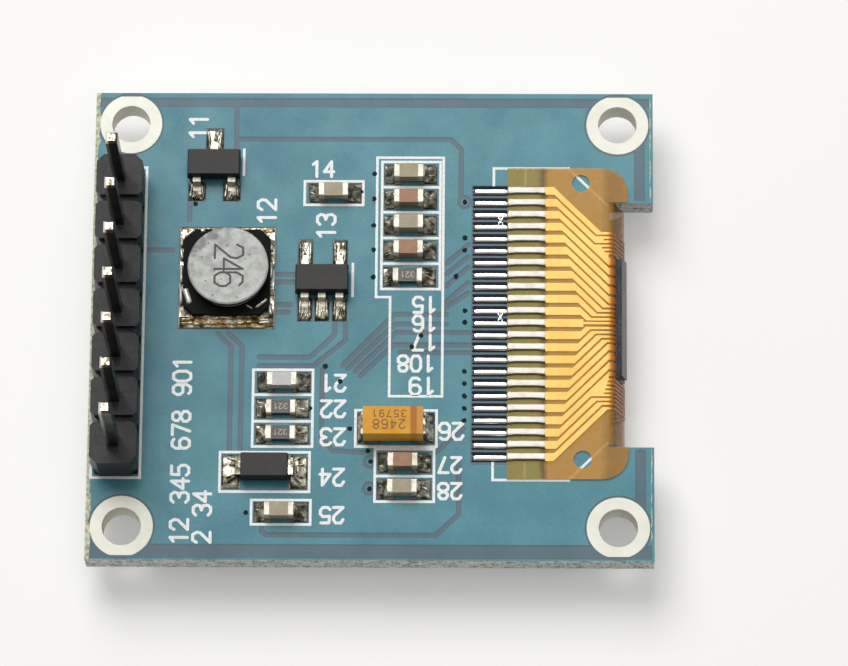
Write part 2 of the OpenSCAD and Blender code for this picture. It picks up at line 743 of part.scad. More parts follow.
circuit_board();
mounting_lands();
component_pads();
header_insulator();
for (i = [1:pin_count]) header_pin(i);
header_solder_joints();
film_tail();
film_traces();
film_fingers();
finger_solder_bars();
driver_chip();
chip_underfill();
front_polariser();
front_glass();
rear_glass();
foam_tape();
transistor_body();
transistor_leads();
regulator_body();
regulator_leads();
inductor_shell();
inductor_drum();
inductor_winding();
inductor_terminals();
diode_body();
diode_leads();
tantalum_body();
tantalum_terminals();
for (i = [1:len(capacitor_at)]) {
    capacitor_body(i);
    capacitor_ends(i);
}
for (i = [1:len(resistor_at)]) {
    resistor_body(i);
    resistor_ends(i);
}
solder_fillets();
printed_lines();
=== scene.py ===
"""Looks of a small display module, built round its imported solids.

The board lies on its display with the parts upwards. Places are in millimetres from the
middle of the board, and only new_piece() turns them into metres.
"""
import json
import math
import random

import bpy
from mathutils import Matrix, Vector, noise
from mathutils.geometry import delaunay_2d_cdt

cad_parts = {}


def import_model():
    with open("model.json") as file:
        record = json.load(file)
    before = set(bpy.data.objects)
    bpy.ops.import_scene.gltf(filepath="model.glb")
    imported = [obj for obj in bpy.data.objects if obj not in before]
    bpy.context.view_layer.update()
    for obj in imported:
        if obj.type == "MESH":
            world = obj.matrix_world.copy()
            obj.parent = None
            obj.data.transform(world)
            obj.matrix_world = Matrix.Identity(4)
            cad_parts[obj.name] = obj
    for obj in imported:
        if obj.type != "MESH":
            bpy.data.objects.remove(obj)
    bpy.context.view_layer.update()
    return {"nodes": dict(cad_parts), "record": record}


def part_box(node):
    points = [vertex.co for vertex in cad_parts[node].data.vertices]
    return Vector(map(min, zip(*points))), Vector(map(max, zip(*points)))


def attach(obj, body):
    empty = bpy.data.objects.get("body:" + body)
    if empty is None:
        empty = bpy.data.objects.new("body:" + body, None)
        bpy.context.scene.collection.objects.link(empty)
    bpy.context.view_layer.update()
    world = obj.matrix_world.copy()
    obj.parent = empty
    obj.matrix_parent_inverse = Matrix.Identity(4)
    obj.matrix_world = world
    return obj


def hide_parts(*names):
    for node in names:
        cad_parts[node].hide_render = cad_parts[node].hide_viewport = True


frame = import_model()
NODES = frame["nodes"]
MM = 0.001
CHIPS = [f"capacitor_{i}" for i in range(1, 10)] + [f"resistor_{i}" for i in range(1, 4)]


def box(node):
    """Lowest and highest corner of a CAD node, in millimetres."""
    low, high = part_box(node)
    return low / MM, high / MM


def middle(node):
    low, high = box(node)
    return (low + high) / 2


def islands(node):
    """Lowest and highest corner of each separate solid of a CAD node, in millimetres."""
    mesh = NODES[node].data
    place = NODES[node].matrix_world
    spots = [tuple(round(c / MM, 4) for c in place @ vertex.co) for vertex in mesh.vertices]
    joined = {spot: spot for spot in spots}

    def root(spot):
        while joined[spot] != spot:
            joined[spot] = joined[joined[spot]]
            spot = joined[spot]
        return spot

    for edge in mesh.edges:
        a, b = sorted(root(spots[i]) for i in edge.vertices)
        joined[b] = a
    groups = {}
    for spot in sorted(joined):
        groups.setdefault(root(spot), []).append(spot)
    return [(Vector(map(min, zip(*group))), Vector(map(max, zip(*group)))) for group in groups.values()]


BOARD_LOW, BOARD_HIGH = box("circuit_board")
TOP = BOARD_HIGH.z
PAD_TOP = box("component_pads")[1].z
INK_TOP = box("printed_lines")[1].z
MASK_TOP = TOP + 0.6 * (INK_TOP - TOP)
FILM_LEFT = box("film_tail")[0].x
BAR_LEFT = box("finger_solder_bars")[0].x
FINGER_RIGHT = box("film_fingers")[1].x
PADS = islands("component_pads")
FINGERS = sorted(((low.y + high.y) / 2 for low, high in islands("film_fingers")), reverse=True)


def pad_at(x, y):
    """The pad under a place on the board."""
    return next((low, high) for low, high in PADS if low.x < x < high.x and low.y < y < high.y)


# ---- Meshes ----

def new_piece(name, points, faces, material, smooth=False, replaced=()):
    """A mesh piece in the shared frame, which rides on the one body."""
    mesh = bpy.data.meshes.new(name)
    mesh.from_pydata([Vector(p) * MM for p in points], [], faces)
    mesh.validate()
    if smooth:
        mesh.shade_smooth()
    else:
        mesh.shade_flat()
    mesh.materials.append(material)
    piece = bpy.data.objects.new(name, mesh)
    bpy.context.scene.collection.objects.link(piece)
    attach(piece, "root")
    if replaced:
        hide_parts(*replaced)
    return piece


class Shape:
    """Points and faces of one piece, gathered from several closed forms."""

    def __init__(self):
        self.points = []
        self.faces = []

    def add(self, points, faces):
        start = len(self.points)
        self.points += points
        self.faces += [[start + i for i in face] for face in faces]

    def sheet(self, rows):
        """A closed form from rows of points whose border lies on one flat base."""
        count = len(rows[0])
        faces = []
        for r in range(len(rows) - 1):
            for c in range(count - 1):
                i = r * count + c
                faces.append([i, i + 1, i + count + 1, i + count])
        last = (len(rows) - 1) * count
        rim = list(range(count)) + [r * count + count - 1 for r in range(1, len(rows))]
        rim += [last + c for c in range(count - 2, -1, -1)]
        rim += [r * count for r in range(len(rows) - 2, 0, -1)]
        faces.append(rim[::-1])
        self.add([p for row in rows for p in row], faces)

    def make(self, name, material, smooth=False, replaced=()):
        return new_piece(name, self.points, self.faces, material, smooth, replaced)


def disc(x, y, radius, sides=16):
    return [(x + radius * math.cos(2 * math.pi * i / sides),
             y + radius * math.sin(2 * math.pi * i / sides)) for i in range(sides)]


def rectangle(low, high):
    return [(low[0], low[1]), (high[0], low[1]), (high[0], high[1]), (low[0], high[1])]


def stroke(points, width):
    """Outlines that cover a line of the given width with round joints and ends."""
    cells = [disc(x, y, width / 2, 12) for x, y in points]
    for (ax, ay), (bx, by) in zip(points, points[1:]):
        length = math.hypot(bx - ax, by - ay)
        if length > 0:
            nx, ny = (ay - by) / length * width / 2, (bx - ax) / length * width / 2
            cells.append([(ax - nx, ay - ny), (bx - nx, by - ny), (bx + nx, by + ny), (ax + nx, ay + ny)])
    return cells


def flat_solid(shape, kept, cut, low, high):
    """Adds the union of the kept outlines less the cut ones, as a solid between two levels."""
    outlines = kept + cut
    points = [Vector(p) for outline in outlines for p in outline]
    faces, start = [], 0
    for outline in outlines:
        faces.append(list(range(start, start + len(outline))))
        start += len(outline)
    spots, _, cells, _, _, sources = delaunay_2d_cdt(points, [], faces, 1, 1e-5, True)
    chosen = [cell for cell, source in zip(cells, sources)
              if any(s < len(kept) for s in source) and not any(s >= len(kept) for s in source)]
    used = sorted({i for cell in chosen for i in cell})
    place = {spot: i for i, spot in enumerate(used)}
    count = len(used)
    top = [[place[i] + count for i in cell] for cell in chosen]
    bottom = [[place[i] for i in reversed(cell)] for cell in chosen]
    edges = {(a, b) for cell in chosen for a, b in zip(cell, cell[1:] + cell[:1])}
    walls = [[place[a], place[b], place[b] + count, place[a] + count]
             for a, b in edges if (b, a) not in edges]
    flat = [(spots[i].x, spots[i].y, low) for i in used] + [(spots[i].x, spots[i].y, high) for i in used]
    shape.add(flat, bottom + top + sorted(walls))


# ---- Materials ----

class Look:
    """One procedural material, built up from short node calls in millimetre coordinates."""

    def __init__(self, name):
        self.material = bpy.data.materials.new(name)
        self.material.use_nodes = True
        self.tree = self.material.node_tree
        self.tree.nodes.clear()
        place = self.add("ShaderNodeTexCoord").outputs["Object"]
        scaled = self.add("ShaderNodeVectorMath", {0: place, "Scale": 1 / MM}, operation="SCALE")
        self.place = scaled.outputs[0]
        split = self.add("ShaderNodeSeparateXYZ", {0: self.place})
        self.x, self.y, self.z = split.outputs
        face = self.add("ShaderNodeNewGeometry").outputs["True Normal"]
        self.up = self.add("ShaderNodeSeparateXYZ", {0: face}).outputs[2]

    def add(self, kind, inputs=None, **settings):
        node = self.tree.nodes.new(kind)
        for key, value in settings.items():
            setattr(node, key, value)
        for key, value in (inputs or {}).items():
            self.put(node.inputs[key], value)
        return node

    def put(self, socket, value):
        if isinstance(value, bpy.types.NodeSocket):
            self.tree.links.new(value, socket)
        else:
            socket.default_value = value

    def noise(self, per_mm, detail=3.0, stretch=(1, 1, 1), distortion=0.0):
        place = self.add("ShaderNodeVectorMath", {0: self.place, 1: stretch}, operation="MULTIPLY")
        node = self.add("ShaderNodeTexNoise", {"Vector": place.outputs[0], "Scale": per_mm, "Detail": detail,
                                               "Distortion": distortion})
        return node.outputs["Fac"]

    def cells(self, per_mm):
        return self.add("ShaderNodeTexVoronoi", {"Vector": self.place, "Scale": per_mm}).outputs["Distance"]

    def math(self, operation, a, b=0.0):
        return self.add("ShaderNodeMath", {0: a, 1: b}, operation=operation).outputs[0]

    def blend(self, a, b, share):
        """Weighted sum of two values, with the given share of the first."""
        return self.math("ADD", self.math("MULTIPLY", a, share), self.math("MULTIPLY", b, 1 - share))

    def span(self, value, low, high, to_low=0.0, to_high=1.0):
        """The value's place between low and high, clamped and stretched to a new span."""
        node = self.add("ShaderNodeMapRange", {"Value": value, "From Min": low, "From Max": high,
                                               "To Min": to_low, "To Max": to_high})
        return node.outputs[0]

    def within(self, value, low, high, soft=0.02):
        """1 between low and high, and 0 outside."""
        return self.math("MULTIPLY", self.span(value, low - soft, low + soft),
                         self.span(value, high + soft, high - soft))

    def ramp(self, value, stops):
        node = self.add("ShaderNodeValToRGB", {0: value})
        elements = node.color_ramp.elements
        while len(elements) < len(stops):
            elements.new(1.0)
        for element, (position, colour) in zip(elements, stops):
            element.position = position
            element.color = (*colour, 1)
        return node.outputs[0]

    def mix(self, share, a, b):
        node = self.add("ShaderNodeMix", {"Factor": share}, data_type="RGBA")
        for socket, value in ((node.inputs[6], a), (node.inputs[7], b)):
            self.put(socket, (*value, 1) if isinstance(value, tuple) else value)
        return node.outputs[2]

    def bump(self, height, distance):
        """Bump whose height is in millimetres."""
        inputs = {"Height": height, "Distance": distance * MM, "Strength": 1.0}
        return self.add("ShaderNodeBump", inputs).outputs[0]

    def done(self, colour, roughness, normal=None, **constants):
        shader = self.add("ShaderNodeBsdfPrincipled")
        self.put(shader.inputs["Base Color"], (*colour, 1) if isinstance(colour, tuple) else colour)
        self.put(shader.inputs["Roughness"], roughness)
        if normal:
            self.put(shader.inputs["Normal"], normal)
        for key, value in constants.items():
            self.put(shader.inputs[key.replace("_", " ").title().replace("Ior", "IOR")], value)
        self.add("ShaderNodeOutputMaterial", {0: shader.outputs[0]})
        return self.material


def fibre_edge(look):
    """Colour of sawn glass-fibre laminate, in layers along z."""
    layers = look.noise(1.0, 2.0, (2.2, 2.2, 9.0), 0.6)
    threads = look.noise(1.0, 3.0, (11.0, 11.0, 2.0), 0.3)
    both = look.blend(layers, threads, 0.65)
    return look.ramp(both, [(0.34, (0.14, 0.22, 0.22)), (0.43, (0.38, 0.46, 0.43)),
                            (0.50, (0.68, 0.73, 0.68)), (0.60, (0.93, 0.94, 0.90))]), both


def mask_colour(look, dark, light):
    """Lacquer colour with faint clouds and fine specks, a little lighter towards the right."""
    clouds = look.noise(0.35, 4.0)
    grain = look.noise(9.0, 2.0)
    drift = look.span(look.x, BOARD_LOW.x, BOARD_HIGH.x, -0.07, 0.07)
    value = look.math("ADD", look.blend(clouds, grain, 0.7), drift)
    return look.ramp(value, [(0.30, dark), (0.70, light)])


def board_look():
    look = Look("solder_mask_board")
    edge, fibres = fibre_edge(look)
    gap = mask_colour(look, (0.062, 0.122, 0.165), (0.100, 0.172, 0.215))
    under = mask_colour(look, (0.055, 0.190, 0.235), (0.085, 0.245, 0.300))
    flat = look.mix(look.math("GREATER_THAN", look.up, 0.0), under, gap)
    side = look.math("LESS_THAN", look.math("ABSOLUTE", look.up), 0.5)
    colour = look.mix(side, flat, edge)
    roughness = look.span(side, 0, 1, 0.34, 0.8)
    height = look.math("MULTIPLY", fibres, side)
    return look.done(colour, roughness, look.bump(height, 0.12), specular_ior_level=0.3)


def mask_look():
    look = Look("solder_mask")
    colour = mask_colour(look, (0.042, 0.190, 0.245), (0.090, 0.290, 0.345))
    roughness = look.span(look.noise(0.6, 3.0), 0.3, 0.7, 0.28, 0.40)
    peel = look.noise(5.0, 3.0)
    return look.done(colour, roughness, look.bump(peel, 0.005), specular_ior_level=0.3)


def tin_look(name="bright_tin", dark=(0.44, 0.41, 0.33), light=(0.62, 0.59, 0.50), rough=(0.32, 0.46),
             metal=0.4):
    """Plated or soldered tin; metal is how much it mirrors the room."""
    look = Look(name)
    colour = look.ramp(look.noise(1.6, 3.0), [(0.34, dark), (0.52, light)])
    roughness = look.span(look.noise(8.0, 2.0), 0.3, 0.7, rough[0], rough[1])
    return look.done(colour, roughness, look.bump(look.noise(3.0, 2.0), 0.012), metallic=metal)


def land_look():
    """Flat hot-air tin, almost white, with a few faint clouds."""
    look = Look("land_tin")
    colour = look.ramp(look.noise(0.7, 3.0), [(0.3, (0.78, 0.78, 0.69)), (0.6, (0.86, 0.86, 0.76))])
    roughness = look.span(look.noise(5.0, 2.0), 0.3, 0.7, 0.42, 0.55)
    return look.done(colour, roughness, look.bump(look.noise(1.5, 2.0), 0.01), metallic=0.1,
                     specular_ior_level=0.2)


def solder_look(name="solder", stops=((0.36, (0.070, 0.060, 0.035)), (0.47, (0.24, 0.22, 0.16)),
                                      (0.62, (0.66, 0.62, 0.52)))):
    """Reflowed solder with traces of brown flux."""
    look = Look(name)
    colour = look.ramp(look.noise(2.4, 3.0, distortion=0.4), stops)
    roughness = look.span(look.noise(7.0, 2.0), 0.3, 0.7, 0.18, 0.32)
    return look.done(colour, roughness, look.bump(look.noise(2.6, 2.0), 0.03), metallic=0.7)


def bar_look():
    """Smooth, clean solder on the board's contact bars."""
    look = Look("bar_solder")
    colour = look.ramp(look.noise(1.2, 2.0), [(0.3, (0.86, 0.86, 0.85)), (0.6, (0.96, 0.96, 0.95))])
    roughness = look.span(look.noise(4.0, 2.0), 0.3, 0.7, 0.05, 0.10)
    return look.done(colour, roughness, look.bump(look.noise(1.0, 2.0), 0.004), metallic=1.0)


def pin_look():
    """Drawn pins: a cream tip with painted shade in its hollow, a painted highlight along the left edge, and
    painted shade on the sides.
    """
    look = Look("pin_plating")
    left = box("header_pin_1")[0].x
    # Painted highlight: a cream strip along the left edge of the pins' standing faces
    edge = look.span(look.x, left + 0.10, left + 0.20)
    # Painted shade: the rest of the standing faces is coloured near-black
    painted_side_shade = look.ramp(look.noise(1.2, 3.0), [(0.34, (0.030, 0.026, 0.020)), (0.6, (0.085, 0.075, 0.060))])
    side = look.mix(edge, (0.72, 0.68, 0.56), painted_side_shade)
    # Painted shade: a dark brown patch on the tip for the shade in its hollow
    hollow_shade = look.span(look.noise(3.2, 2.0, (1, 1, 0)), 0.44, 0.50)
    tip = look.mix(hollow_shade, (0.16, 0.12, 0.07), (0.78, 0.75, 0.62))
    colour = look.mix(look.math("GREATER_THAN", look.up, 0.5), side, tip)
    roughness = look.span(look.up, 0.3, 0.6, 0.22, 0.42)
    return look.done(colour, roughness, look.bump(look.noise(1.2, 2.0, (6, 6, 1)), 0.006), metallic=1.0)


def plastic_look(name, dark, light, rough, grain=0.02, sides=1.0, sheen=0.5):
    """A moulded or fired surface; sides is how light its standing faces are beside its top, as painted shade.

    Rough is the least and most roughness, and grain the depth of its fine bump in millimetres.
    """
    look = Look(name)
    clouds = look.noise(1.6, 4.0)
    fine = look.noise(18.0, 3.0)
    colour = look.ramp(look.blend(clouds, fine, 0.6), [(0.36, dark), (0.64, light)])
    # Painted shade: faces whose normal points less than half up are blended towards near-black by 1 - sides
    if sides < 1:
        shade = look.math("MULTIPLY", look.math("LESS_THAN", look.up, 0.5), 1 - sides)
        colour = look.mix(shade, colour, (0.002, 0.002, 0.002))
    roughness = look.span(clouds, 0.3, 0.7, rough[0], rough[1])
    return look.done(colour, roughness, look.bump(fine, grain), specular_ior_level=sheen)


# Spans along x over which the painted shade on the film's fold lightens towards its outer edge, and the gold
# turns into painted shade and darkens
FILM_EDGE = (13.45, 13.95)
GOLD_TURN = (12.9, 13.15)
GOLD_FOLD_SHADE = (13.1, 13.5)


def film_look():
    """Amber film: bare at the fingers, pinker under its cover layer, and painted shade in deep amber over the
    fold, lightening towards its outer edge, with painted maroon shade beside the chip.
    """
    look = Look("polyimide_film")
    right = box("film_tail")[1].x
    along = look.span(look.x, FILM_LEFT, right)
    share = (FINGER_RIGHT - FILM_LEFT) / (right - FILM_LEFT)
    wave = look.math("MULTIPLY", look.math("SUBTRACT", look.noise(0.9, 3.0), 0.5), 0.05)
    # Painted shade: the film below its flat top, over the fold, takes the deep colours
    fall = look.span(look.z, PAD_TOP + 0.1, PAD_TOP - 0.15)
    flat = look.ramp(look.math("ADD", along, wave), [
        (0.0, (0.50, 0.40, 0.080)), (share - 0.06, (0.52, 0.41, 0.08)), (share - 0.015, (0.30, 0.14, 0.02)),
        (share + 0.03, (0.84, 0.43, 0.070)), (0.76, (0.86, 0.44, 0.08)), (0.84, (0.58, 0.28, 0.03))])
    # Painted shade that lightens towards the fold's outer edge
    edge = look.span(look.x, *FILM_EDGE)
    amber = look.ramp(edge, [(0.0, (0.22, 0.09, 0.004)), (0.5, (0.45, 0.20, 0.012)),
                             (1.0, (0.62, 0.30, 0.09))])
    # Painted shade beside the driver chip
    maroon_shade = look.ramp(look.noise(1.4, 3.0), [(0.35, (0.030, 0.006, 0.004)), (0.65, (0.075, 0.014, 0.008))])
    chip_low, chip_high = box("driver_chip")
    deep = look.mix(look.within(look.y, chip_low.y, chip_high.y, 0.05), amber, maroon_shade)
    colour = look.mix(fall, flat, deep)
    roughness = look.span(look.noise(2.0, 3.0), 0.3, 0.7, 0.18, 0.34)
    return look.done(colour, roughness, look.bump(look.noise(2.2, 3.0), 0.03), alpha=0.46,
                     specular_ior_level=0.2)


def gold_look():
    look = Look("gold_copper")
    flat = look.ramp(look.noise(0.5, 2.0), [(0.3, (0.83, 0.47, 0.085)), (0.6, (0.90, 0.55, 0.125))])
    # Painted shade: the gold darkens as it turns down over the fold
    fold_shaded_gold = look.ramp(look.span(look.x, *GOLD_FOLD_SHADE), [(0.0, (0.80, 0.40, 0.06)), (0.6, (0.50, 0.12, 0.02)),
                                                      (1.0, (0.30, 0.10, 0.02))])
    colour = look.mix(look.span(look.x, *GOLD_TURN), flat, fold_shaded_gold)
    roughness = look.span(look.noise(6.0, 3.0), 0.3, 0.7, 0.3, 0.45)
    return look.done(colour, roughness, look.bump(look.noise(8.0, 2.0), 0.01), metallic=0.2)


def drum_look():
    """Ground ferrite with stains, a few dark pits whose shade is painted in, and painted shade on its side.
    """
    look = Look("grey_ferrite")
    at = middle("inductor_drum")
    # Pits: real pores, coloured dark as painted shade
    pits = look.span(look.cells(2.6), 0.07, 0.13)
    few = look.span(look.noise(1.1, 2.0), 0.50, 0.56)
    pits = look.math("MAXIMUM", pits, few)
    clouds = look.ramp(look.noise(2.2, 4.0), [(0.32, (0.36, 0.37, 0.35)), (0.62, (0.54, 0.56, 0.52))])
    corner = look.math("SUBTRACT", look.math("SUBTRACT", look.y, at.y), look.math("SUBTRACT", look.x, at.x))
    stain = look.math("MULTIPLY", look.span(corner, 1.2, 2.4), look.span(look.noise(2.0, 4.0), 0.42, 0.58))
    colour = look.mix(look.math("MULTIPLY", stain, 0.65), clouds, (0.10, 0.105, 0.12))
    colour = look.mix(pits, (0.07, 0.07, 0.07), colour)
    # Painted shade: the standing faces are coloured near-black
    colour = look.mix(look.math("LESS_THAN", look.up, 0.2), colour, (0.012, 0.012, 0.012))
    height = look.math("ADD", pits, look.noise(6.0, 3.0))
    return look.done(colour, look.span(look.noise(4.0, 3.0), 0.3, 0.7, 0.40, 0.6), look.bump(height, 0.02))


def tantalum_look():
    look = Look("orange_moulding")
    low, high = box("tantalum_body")
    at = look.span(look.x, low.x, high.x)
    clouds = look.ramp(look.noise(0.9, 3.0), [(0.35, (0.68, 0.31, 0.014)), (0.65, (0.77, 0.38, 0.028))])
    band = look.within(at, 0.79, 0.90, 0.012)
    colour = look.mix(look.math("MULTIPLY", band, 0.9), clouds, (0.42, 0.14, 0.015))
    colour = look.mix(look.math("GREATER_THAN", at, 0.90), colour, (0.60, 0.30, 0.05))
    # Painted light: the standing faces are blended halfway towards a lighter orange
    front = look.span(look.up, 0.85, 0.2)
    colour = look.mix(look.math("MULTIPLY", front, 0.5), colour, (0.92, 0.50, 0.035))
    roughness = look.span(look.noise(5.0, 3.0), 0.3, 0.7, 0.35, 0.5)
    return look.done(colour, roughness, look.bump(look.noise(16.0, 3.0), 0.012), specular_ior_level=0.25)


def ink_look():
    look = Look("white_ink")
    colour = look.ramp(look.noise(7.0, 4.0), [(0.3, (0.74, 0.78, 0.78)), (0.52, (0.92, 0.94, 0.94))])
    roughness = look.span(look.noise(9.0, 2.0), 0.3, 0.7, 0.5, 0.7)
    return look.done(colour, roughness, look.bump(look.noise(12.0, 3.0), 0.008))


# Size of the display's field along x and y, half its pitch of dots, and the width of a dark line in it
FIELD = (13.42, 20.14)
HALF_DOT = 0.085
DOT_LINE = 0.012


def polariser_look():
    """Near-black film, with the display's dark field just showing in it."""
    look = Look("polariser")
    at = middle("front_polariser")
    field = look.math("MULTIPLY", look.within(look.x, at.x - FIELD[0] / 2, at.x + FIELD[0] / 2),
                      look.within(look.y, at.y - FIELD[1] / 2, at.y + FIELD[1] / 2))
    rows = look.math("LESS_THAN", look.math("PINGPONG", look.x, HALF_DOT), DOT_LINE)
    columns = look.math("LESS_THAN", look.math("PINGPONG", look.y, HALF_DOT), DOT_LINE)
    grid = look.math("MAXIMUM", rows, columns)
    shade = look.mix(grid, (0.016, 0.018, 0.024), (0.008, 0.009, 0.012))
    colour = look.mix(field, (0.010, 0.010, 0.012), shade)
    roughness = look.span(look.noise(0.5, 3.0), 0.3, 0.7, 0.06, 0.12)
    return look.done(colour, roughness, look.bump(look.noise(1.2, 2.0), 0.004))


def glass_look():
    look = Look("panel_glass")
    tint = look.ramp(look.noise(0.5, 2.0), [(0.3, (0.030, 0.036, 0.040)), (0.7, (0.055, 0.064, 0.068))])
    roughness = look.span(look.noise(3.0, 2.0), 0.3, 0.7, 0.04, 0.12)
    return look.done(tint, roughness, look.bump(look.noise(2.0, 2.0), 0.004), coat_weight=0.6)


def winding_look():
    look = Look("enamelled_copper")
    turns = look.math("PINGPONG", look.z, 0.09)
    colour = look.ramp(look.noise(2.0, 3.0), [(0.3, (0.26, 0.08, 0.02)), (0.7, (0.55, 0.22, 0.08))])
    return look.done(colour, 0.3, look.bump(turns, 0.6), metallic=0.8)


# Dark and light colour, roughness, grain, painted shade of the sides and sheen of each moulded or fired
# surface
PLASTICS = {
    "header_plastic": ((0.018, 0.018, 0.019), (0.050, 0.050, 0.052), (0.34, 0.50), 0.03, 0.4, 0.3),
    "silicon": ((0.006, 0.008, 0.011), (0.016, 0.020, 0.026), (0.2, 0.3), 0.004),
    "underfill_resin": ((0.020, 0.006, 0.004), (0.060, 0.018, 0.010), (0.15, 0.3)),
    "foam": ((0.018, 0.018, 0.018), (0.05, 0.05, 0.05), (0.85, 0.95), 0.08),
    "package_plastic": ((0.030, 0.029, 0.028), (0.058, 0.056, 0.054), (0.42, 0.6), 0.02, 0.12, 0.25),
    "black_ferrite": ((0.004, 0.004, 0.004), (0.012, 0.012, 0.012), (0.5, 0.75), 0.05, 0.6, 0.15),
    "khaki_ceramic": ((0.30, 0.25, 0.155), (0.43, 0.37, 0.25), (0.35, 0.5)),
    "brown_ceramic": ((0.27, 0.135, 0.060), (0.40, 0.22, 0.11), (0.35, 0.5)),
    "grey_ceramic": ((0.46, 0.46, 0.46), (0.62, 0.62, 0.61), (0.35, 0.5)),
    "resistor_glaze": ((0.014, 0.013, 0.012), (0.034, 0.032, 0.030), (0.12, 0.25), 0.01),
    "via_shade": ((0.002, 0.008, 0.012), (0.006, 0.018, 0.026), (0.4, 0.5), 0.02, 1.0, 0.1),
    # Painted shadow and shade: in the header's notches, beside the bars and below the fingers
    "header_painted_shadow": ((0.004, 0.010, 0.016), (0.012, 0.022, 0.030), (0.5, 0.6), 0.02, 1.0, 0.1),
    "bar_painted_shadow": ((0.002, 0.004, 0.007), (0.008, 0.012, 0.016), (0.3, 0.4), 0.02, 1.0, 0.1),
    "finger_painted_shade": ((0.016, 0.010, 0.004), (0.070, 0.045, 0.018), (0.4, 0.5), 0.02, 1.0, 0.15),
    "dark_marking": ((0.05, 0.05, 0.045), (0.10, 0.10, 0.09), (0.5, 0.7)),
    "burnt_marking": ((0.16, 0.070, 0.010), (0.26, 0.12, 0.02), (0.4, 0.6)),
    "pale_marking": ((0.34, 0.30, 0.24), (0.56, 0.52, 0.44), (0.4, 0.6)),
}
LOOKS = {name: plastic_look(name, *values) for name, values in PLASTICS.items()}
LOOKS.update({
    "solder_mask": board_look(),
    "bright_tin": tin_look(),
    "solder": solder_look(),
    "pin_plating": pin_look(),
    "polyimide_film": film_look(),
    "gold_copper": gold_look(),
    "polariser": polariser_look(),
    "panel_glass": glass_look(),
    "grey_ferrite": drum_look(),
    "enamelled_copper": winding_look(),
    "orange_moulding": tantalum_look(),
    "white_ink": ink_look(),
})
for part in frame["record"]["subparts"]:
    NODES[part["node"]].data.materials.clear()
    NODES[part["node"]].data.materials.append(LOOKS[part["material_slot"]])
NODES["mounting_lands"].data.materials[0] = land_look()
NODES["inductor_terminals"].data.materials[0] = solder_look("dull_tin", (
    (0.40, (0.03, 0.022, 0.015)), (0.52, (0.16, 0.13, 0.09)), (0.64, (0.70, 0.66, 0.58))))
# The pads' tin is coloured dark as painted shade around and under the parts
NODES["component_pads"].data.materials[0] = tin_look("pad_tin_painted_shade", (0.10, 0.09, 0.06), (0.24, 0.22, 0.16),
                                                     (0.3, 0.45))
NODES["diode_leads"].data.materials[0] = LOOKS["solder"]
NODES["tantalum_terminals"].data.materials[0] = LOOKS["solder"]


# ---- Lacquered copper on the board ----

# Width of an etched line, and of the dark rim inside it
GAP_W = 0.3
RIM_W = 0.07
# Lines where the copper under the lacquer is etched away
GAPS = [
    [(-7.67, 12.75), (-7.67, 10.0)],
    [(-7.6, 10.78), (4.3, 10.78), (4.88, 10.2), (4.88, 8.9), (4.88, 7.4)],
    [(-12.5, 4.25), (-11.1, 4.25)],
    [(-10.2, 7.3), (-10.2, 6.0)],
    [(-5.3, 2.85), (-4.1, 2.85)], [(-5.3, 2.4), (-4.3, 2.4)],
    [(-5.3, 1.1), (-4.5, 1.1)], [(-5.3, 0.65), (-4.6, 0.65)],
    [(-8.5, -0.6), (-7.75, -1.35), (-7.75, -7.3)], [(-7.9, -0.6), (-7.15, -1.3), (-7.15, -7.3)],
    [(-2.05, 0.1), (-2.05, -0.65), (-3.4, -1.95), (-6.2, -1.95)],
    [(-1.45, 0.1), (-1.45, -0.95), (-3.2, -2.45), (-6.2, -2.45)],
    [(-1.6, -2.4), (1.25, 0.55), (4.1, 0.55)], [(-1.3, -2.6), (1.25, -0.02), (4.1, -0.02)],
    [(-0.9, -2.75), (1.35, -0.5), (5.4, -0.5)],
    [(-0.6, -3.0), (1.2, -1.22), (5.4, -1.22)], [(1.6, -1.65), (5.4, -1.65)],
    [(-2.7, -2.6), (-2.7, -6.5), (-2.1, -7.3), (-0.4, -7.4)],
    [(3.6, -7.4), (4.4, -6.6), (5.1, -6.0)],
    [(-5.9, -11.6), (-5.9, -11.9), (-5.7, -12.1), (3.6, -12.1), (4.85, -10.9), (4.85, -8.0)],
    [(4.1, 3.5), (5.3, 4.6)], [(4.1, 2.9), (5.3, 3.9)], [(4.1, 2.2), (5.3, 3.3)],
    [(4.1, 1.3), (5.3, 2.4)], [(4.0, 0.9), (5.3, 1.8)],
]
# Bare bands along the board's edges: low and high corner of each
BANDS = [((-15.4, 12.66), (15.4, 13.22)), ((-15.4, -13.42), (15.4, -12.62)), ((14.5, 7.2), (15.1, 12.7)),
         ((14.5, -12.7), (15.1, -7.2))]
VIAS = [
    (-9.89, 6.96), (-0.68, 7.68), (-3.36, -4.89), (-6.79, -10.84), (-1.14, -6.04), (-0.14, -7.32),
    (0.0, -7.93), (-0.04, -9.46), (5.09, 7.09), (5.11, 5.01), (5.11, 4.29), (4.63, 2.77), (5.13, 0.77),
    (5.13, 0.09), (5.13, -2.75), (5.13, -3.44), (5.13, -4.16), (5.13, -4.86), (5.13, -5.56),
    (-2.54, -2.46), (-1.71, -3.32), (2.71, -0.68), (2.21, -1.32),
] + [(0.05, y) for y in (8.75, 7.27, 5.71, 4.29, 2.71)]
RINGED_VIAS = [(5.09, 7.09), (0.0, -7.93), (-0.04, -9.46)]
VIA_R = 0.14
RAGGED = 0.35
RING_R = 0.32
RING_W = 0.20
# How far the lacquer stays back from a pad and from a land, and overlaps the land's hole
MASK_GAP = 0.06
LAND_GAP = 0.12
LAND_D = 3.46
LAND_LIP = 0.1
PITCH = 0.7
# Depth and half length of the notch for the film
NOTCH = (2.45, 7.06)
# How far vias and sawn strips stand above the print or lacquer that they cover
LIFT = 0.003
# Greatest width of the sawn strips on the left and right, and the length of one of their teeth
LEFT_STRIP = 0.30
RIGHT_STRIP = 0.19
TOOTH = 0.35


